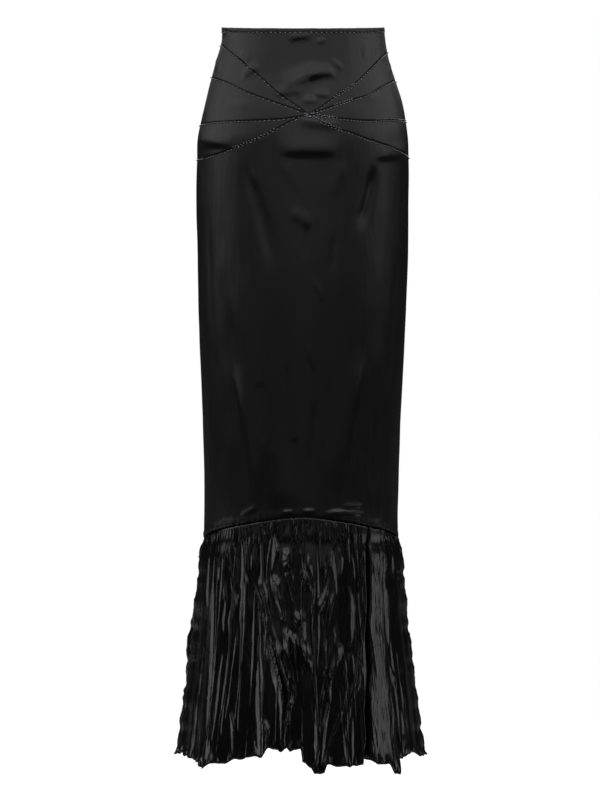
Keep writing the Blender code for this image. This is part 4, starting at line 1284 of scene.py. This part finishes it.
def make_zip_tape():
    """The two tapes as one strip, closed, from the binding down."""
    rows, columns = 60, 13
    across = np.linspace(-TAPE_HALF, TAPE_HALF, columns)[None, :]
    down = np.linspace(0, ZIP_LENGTH, rows)[:, None]
    z = below_binding(180.0) - down + 0 * across
    _, _, _, back = half_breadths(z)
    angle = 180 - np.degrees(across / back)
    ridge = TAPE_RIDGE * np.exp(-(across / TAPE_RIDGE_REACH) ** 2)
    points = skirt_points(angle, z, (ridge - TAPE_BEHIND) * MM)
    mesh = grid_mesh("zip_tape_cloth", points[:, ::-1], cloth_uv(points))
    obj = new_piece("zip_tape_cloth", mesh, tape_finish, ["zip_tape"])
    thicken(obj, TAPE_THICKNESS * MM)


def make_zip_coil():
    """The coil on the tape's inner face: one short bar for each turn."""
    top = below_binding(180.0)
    z = np.arange(top - 0.004, top - ZIP_LENGTH + 0.004, -COIL_PITCH)
    frames = frames_at(180.0 + 0 * z, z, -TAPE_BEHIND - COIL_BEHIND, COIL_SLANT)
    mesh = copies("zip_coil", STITCH_SHAPE, frames, COIL_BAR)
    mesh.shade_smooth()
    new_piece("zip_coil", mesh, tape_finish)


make_zip_tape()
make_zip_coil()

# %% Small castings
BEVEL, SHARP_EDGE, SHARP_SHADE = 0.00012, 0.7, 35       # metres, radians, degrees


def in_place(mesh, lean):
    """Turn a small part about +X by its lean and move it from its own origin to the hinge line."""
    points = np.empty(len(mesh.vertices) * 3)
    mesh.vertices.foreach_get("co", points)
    x, y, z = points.reshape(-1, 3).T
    c, s = math.cos(lean), math.sin(lean)
    placed = np.stack([x, c * y - s * z, s * y + c * z], axis=-1) + HINGE
    mesh.vertices.foreach_set("co", placed.reshape(-1))
    mesh.update()


def pushed_outline(bm, outline, low, high, hole=None):
    """A plate from its outline in the X-Z plane, between two depths in Y; `hole` is a second
    outline with as many points, and then the plate is a frame between the two."""
    def ring(points, y):
        return [bm.verts.new((px, y, pz)) for px, pz in points]

    near, far = ring(outline, low), ring(outline, high)
    count = len(outline)
    if hole is None:
        bm.faces.new(near)
        bm.faces.new(far[::-1])
    else:
        near_in, far_in = ring(hole, low), ring(hole, high)
    for i in range(count):
        j = (i + 1) % count
        bm.faces.new((near[j], near[i], far[i], far[j]))
        if hole is not None:
            bm.faces.new((near_in[i], near_in[j], far_in[j], far_in[i]))
            bm.faces.new((near[i], near[j], near_in[j], near_in[i]))
            bm.faces.new((far[j], far[i], far_in[i], far_in[j]))


def oval(half_wide, half_long, middle_z, power=2.6, count=28):
    """Points of a superellipse in the X-Z plane: a rounded rectangle as the power grows."""
    turn = np.arange(count) * 2 * math.pi / count
    c, s = np.cos(turn), np.sin(turn)
    x = half_wide * np.sign(c) * np.abs(c) ** (2 / power)
    z = middle_z + half_long * np.sign(s) * np.abs(s) ** (2 / power)
    return list(zip(x.tolist(), z.tolist()))


def finish_casting(name, bm, lean, replaced, body):
    """Round the edges of a small casting slightly and set it in its place."""
    bmesh.ops.recalc_face_normals(bm, faces=bm.faces)
    sharp = [e for e in bm.edges if len(e.link_faces) == 2 and e.calc_face_angle() > SHARP_EDGE]
    bmesh.ops.bevel(bm, geom=sharp, offset=BEVEL, segments=2, affect="EDGES", profile=0.5)
    mesh = bpy.data.meshes.new(name)
    bm.to_mesh(mesh)
    bm.free()
    mesh.shade_smooth()
    mesh.set_sharp_from_angle(angle=math.radians(SHARP_SHADE))
    in_place(mesh, lean)
    new_piece(name, mesh, enamel_finish, [replaced], body)
    print(f"{name}: {len(mesh.polygons)} faces")


# %% Slider and pull, in metres from the hinge line
def make_slider():
    """The slider's plate, 5 by 8 mm with a raised rim, and the staple-shaped bridge over it. The
    bridge is its side view, as points of depth and height, pushed through to its width."""
    plate = bmesh.new()
    pushed_outline(plate, oval(0.0025, 0.0040, 0.0), -0.0020, -0.0011)
    pushed_outline(plate, oval(0.0025, 0.0040, 0.0), -0.0012, -0.0009, oval(0.0020, 0.0035, 0.0))
    half, reach, leg, corner = 0.0007, 0.0026, 0.0009, 0.0006
    foot, bar_in, bar_out = -0.0014, 0.0010, 0.0019
    side = [(foot, -reach), (bar_out - corner, -reach), (bar_out, -reach + corner),
            (bar_out, reach - corner), (bar_out - corner, reach), (foot, reach),
            (foot, reach - leg), (bar_in, reach - leg), (bar_in, leg - reach),
            (foot, leg - reach)]
    near = [plate.verts.new((-half, y, z)) for y, z in side]
    far = [plate.verts.new((half, y, z)) for y, z in side]
    plate.faces.new(near)
    plate.faces.new(far[::-1])
    for i in range(len(side)):
        j = (i + 1) % len(side)
        plate.faces.new((near[j], near[i], far[i], far[j]))
    finish_casting("slider_casting", plate, SLIDER_LEAN, "zip_slider", BODY)


def make_pull():
    """The pull tab: a frame round the eye that holds the bar, and a rounded tab below it with a
    raised rim and three grip ribs."""
    tab = bmesh.new()
    thick, eye_z, tab_z = 0.0005, -0.00185, -0.0130
    pushed_outline(tab, oval(0.0021, 0.00235, eye_z, 4.0), -thick, thick,
                   oval(0.0012, 0.00135, eye_z, 4.0))
    pushed_outline(tab, oval(0.0026, 0.0090, tab_z, 2.4), -0.7 * thick, 0.7 * thick)
    pushed_outline(tab, oval(0.0026, 0.0090, tab_z, 2.4), -thick, thick,
                   oval(0.0019, 0.0083, tab_z, 2.4))
    for z in (-0.0165, -0.0150, -0.0135):
        pushed_outline(tab, oval(0.0014, 0.00028, z, 3.0, 12), 0.5 * thick, 1.0 * thick)
    finish_casting("pull_casting", tab, PULL_LEAN, "zip_pull", "pull_tab")


make_slider()
make_pull()

# %% [markdown]
# ## Floor, light and camera
#
# The light is plain and soft. A black glossy cloth is drawn by what it reflects, so each part of
# the skirt gets its own soft source, as a photographer would do it:
#
# - a large box far out on each side, a little above the flounce, for the flanks of its pleats, with
#   a small strip close by for those that slant;
# - near boxes high on all four sides, which only the yoke, the hip and the seat reflect, and a card
#   in front and one behind to lift the darkest cloth;
# - weak boxes low in front, for the long plain column;
# - narrow boxes behind it, for a thin line of light down both edges.
#
# A far box is reflected by every face with the right slope, and a near one only by faces at the
# right height too. The room stays dark between them, or the black cloth would look grey.

# %% Floor
FLOOR_Z, FLOOR_RADIUS, FLOOR_SIDES = HEM_Z - 0.22, 2.6, 96


def make_floor():
    """A plain pale disc under the skirt, left out of the cloth's reflections."""
    turn = np.linspace(0, 2 * math.pi, FLOOR_SIDES, endpoint=False)
    ring = np.stack([FLOOR_RADIUS * np.cos(turn), FLOOR_RADIUS * np.sin(turn), FLOOR_Z + 0 * turn],
                    axis=-1)
    mesh = bpy.data.meshes.new("floor")
    mesh.from_pydata(ring.tolist(), [], [list(range(FLOOR_SIDES))])
    floor = bpy.data.objects.new("floor", mesh)
    bpy.context.scene.collection.objects.link(floor)
    material, tree, out = new_material("matt_white_paint")
    place = add(tree, "ShaderNodeTexCoord").outputs["Object"]
    grain = add(tree, "ShaderNodeTexNoise", values={"Scale": 40.0, "Detail": 4.0},
                links={"Vector": place}).outputs["Fac"]
    tint = add(tree, "ShaderNodeMix", {"data_type": "RGBA"},
               {6: to_linear("#f4f4f4"), 7: to_linear("#fafafa")}, {0: grain})
    shader = add(tree, "ShaderNodeBsdfPrincipled",
                 values={"Roughness": 0.9, "Emission Strength": 0.5,
                         "Emission Color": to_linear("#ffffff")},
                 links={"Base Color": tint.outputs[2]})
    tree.links.new(shader.outputs["BSDF"], out.inputs["Surface"])
    mesh.materials.append(material)
    floor.visible_glossy = False
    floor.visible_diffuse = False


make_floor()
print("floor:", round(FLOOR_Z, 3), "m, radius", FLOOR_RADIUS, "m")

# %% Room
# Brightness of the room: the floor, the dark distance, and the broad white bank at the ceiling,
# as pairs of elevation in degrees and brightness.
ROOM = [(-90, 0.04), (-2, 0.05), (3, 0.008), (28, 0.008), (40, 0.9), (90, 0.9)]
# What the half of the room behind the skirt adds to that: the pale floor and a lit wall above.
BEHIND = [(-90, 0.35), (-14, 0.30), (-6, 0.005), (24, 0.005), (34, 0.30), (90, 0.0)]


def brightness_ramp(tree, rows, level):
    """A colour ramp over rows of (elevation, brightness). `level` runs from 0 straight down to 1
    straight up, as the sine of the elevation does."""
    ramp = add(tree, "ShaderNodeValToRGB", links={"Fac": level})
    bands = ramp.color_ramp.elements
    while len(bands) < len(rows):
        bands.new(1.0)
    for band, (elevation, brightness) in zip(bands, rows):
        band.position = (math.sin(math.radians(elevation)) + 1) / 2
        band.color = (brightness, brightness, brightness, 1.0)
    return ramp.outputs["Color"]


def make_world():
    """White to the camera. To the cloth it is a dark room with a white ceiling, and behind the
    skirt also a pale floor and wall. The rear part grows with the Y of the direction looked in."""
    world = bpy.data.worlds.new("studio")
    world.use_nodes = True
    tree = world.node_tree
    tree.nodes.clear()
    out = tree.nodes.new("ShaderNodeOutputWorld")
    direction = add(tree, "ShaderNodeTexCoord").outputs["Generated"]
    parts = add(tree, "ShaderNodeSeparateXYZ", links={"Vector": direction})
    level = add(tree, "ShaderNodeMapRange", values={"From Min": -1.0, "From Max": 1.0},
                links={"Value": parts.outputs["Z"]}).outputs["Result"]
    rear = add(tree, "ShaderNodeMapRange", {"interpolation_type": "SMOOTHSTEP"},
               {"From Min": 0.55, "From Max": 0.95},
               {"Value": parts.outputs["Y"]}).outputs["Result"]
    behind = add(tree, "ShaderNodeMath", {"operation": "MULTIPLY"},
                 links={0: brightness_ramp(tree, BEHIND, level), 1: rear}).outputs[0]
    glow = add(tree, "ShaderNodeMath", {"operation": "ADD"},
               links={0: brightness_ramp(tree, ROOM, level), 1: behind}).outputs[0]
    room = add(tree, "ShaderNodeBackground", values={"Color": (0.97, 0.97, 1.0, 1.0)},
               links={"Strength": glow})
    white = add(tree, "ShaderNodeBackground",
                values={"Color": (1.0, 1.0, 1.0, 1.0), "Strength": 1.0})
    camera_ray = add(tree, "ShaderNodeLightPath").outputs["Is Camera Ray"]
    mixed = add(tree, "ShaderNodeMixShader", links={0: camera_ray, 1: room.outputs[0],
                                                    2: white.outputs[0]})
    tree.links.new(mixed.outputs[0], out.inputs["Surface"])
    bpy.context.scene.world = world


make_world()
print("room:", len(ROOM), "bands of brightness, and", len(BEHIND), "more behind the skirt")

# %% Soft boxes
def softbox(name, azimuth, elevation, distance, width, height, strength, aim_z):
    """A rectangular light that looks at the skirt's axis. Azimuth 0 is in front, +90 at +X. Its
    strength is its brightness, so its power grows with its area."""
    a, e = math.radians(azimuth), math.radians(elevation)
    data = bpy.data.lights.new(name, "AREA")
    data.shape = "RECTANGLE"
    data.size, data.size_y = width, height
    data.energy = strength * width * height * math.pi
    light = bpy.data.objects.new(name, data)
    target = np.array([0, 0, aim_z])
    place = target + distance * np.array([math.sin(a) * math.cos(e), -math.cos(a) * math.cos(e),
                                          math.sin(e)])
    light.location = place
    toward = target - place
    yaw = math.atan2(toward[0], -toward[1])
    pitch = math.asin(toward[2] / np.linalg.norm(toward))
    light.rotation_euler = (math.pi / 2 + pitch, 0, math.pi + yaw)
    light.visible_camera = False
    bpy.context.scene.collection.objects.link(light)


#                          azimuth, elevation, distance, width, height, strength, aim height
SOFTBOXES = {"left_side": (-84, 8.4, 40.0, 14.0, 10.2, 1.50, -0.93),
             "right_side": (76, 8.4, 40.0, 14.0, 10.2, 1.26, -0.93),
             "left_strip": (-84, -8, 1.2, 0.45, 0.30, 1.7, -0.98),
             "right_strip": (76, -8, 1.2, 0.45, 0.30, 1.4, -0.98),
             "left_low": (-40, -2.4, 40.0, 6.0, 5.4, 0.84, -0.4),
             "right_low": (31, -2.4, 40.0, 6.0, 5.4, 0.44, -0.4),
             "front_low": (1, -3.0, 40.0, 12.0, 6.0, 0.48, -0.4),
             "front_high": (0, 26, 2.2, 3.0, 1.1, 0.58, -0.08),
             "left_high": (-85, 23, 2.2, 2.8, 1.0, 0.97, -0.10),
             "right_high": (85, 23, 2.2, 2.8, 1.0, 0.95, -0.10),
             "back_high": (180, 26, 2.2, 3.0, 1.1, 0.58, -0.08),
             "back_key": (180, 0, 1.5, 0.8, 1.5, 0.30, -0.40),
             "front_card": (0, 0, 2.0, 2.4, 0.8, 0.32, 0.10),
             "left_rim": (-138, -5.0, 40.0, 2.1, 3.2, 0.95, -0.45),
             "right_rim": (134, -5.0, 40.0, 2.1, 3.2, 0.60, -0.45)}
for light_name, row in SOFTBOXES.items():
    softbox(light_name, *row)
print("lights:", len(SOFTBOXES))

# %% Camera at the photo's viewing angle: level, in front, 4.5 m away, half way down the skirt
PHOTO_WIDTH, PHOTO_HEIGHT = 600, 801
REAL_PER_PIXEL = 1.5 * MM            # at the skirt's axis
AXIS_PIXEL, WAIST_PIXEL = 302.5, 27.4
CAMERA_DISTANCE = 4.5
SENSOR = 36.0


def make_camera():
    """A level camera whose picture holds the skirt exactly as the photo does."""
    data = bpy.data.cameras.new("camera")
    data.sensor_width = SENSOR
    data.lens = SENSOR * CAMERA_DISTANCE / (PHOTO_HEIGHT * REAL_PER_PIXEL)
    camera = bpy.data.objects.new("camera", data)
    camera.location = ((PHOTO_WIDTH / 2 - AXIS_PIXEL) * REAL_PER_PIXEL, -CAMERA_DISTANCE,
                       -(PHOTO_HEIGHT / 2 - WAIST_PIXEL) * REAL_PER_PIXEL)
    camera.rotation_euler = (math.pi / 2, 0, 0)
    data.clip_end = 50.0                 # metres
    bpy.context.scene.collection.objects.link(camera)
    bpy.context.scene.camera = camera


make_camera()
view = bpy.context.scene.view_settings
view.view_transform = "Standard"
view.look = "None"
view.exposure = 0.0
view.gamma = 1.0
print("camera:", CAMERA_DISTANCE, "m away,", round(bpy.context.scene.camera.data.lens, 1), "mm")
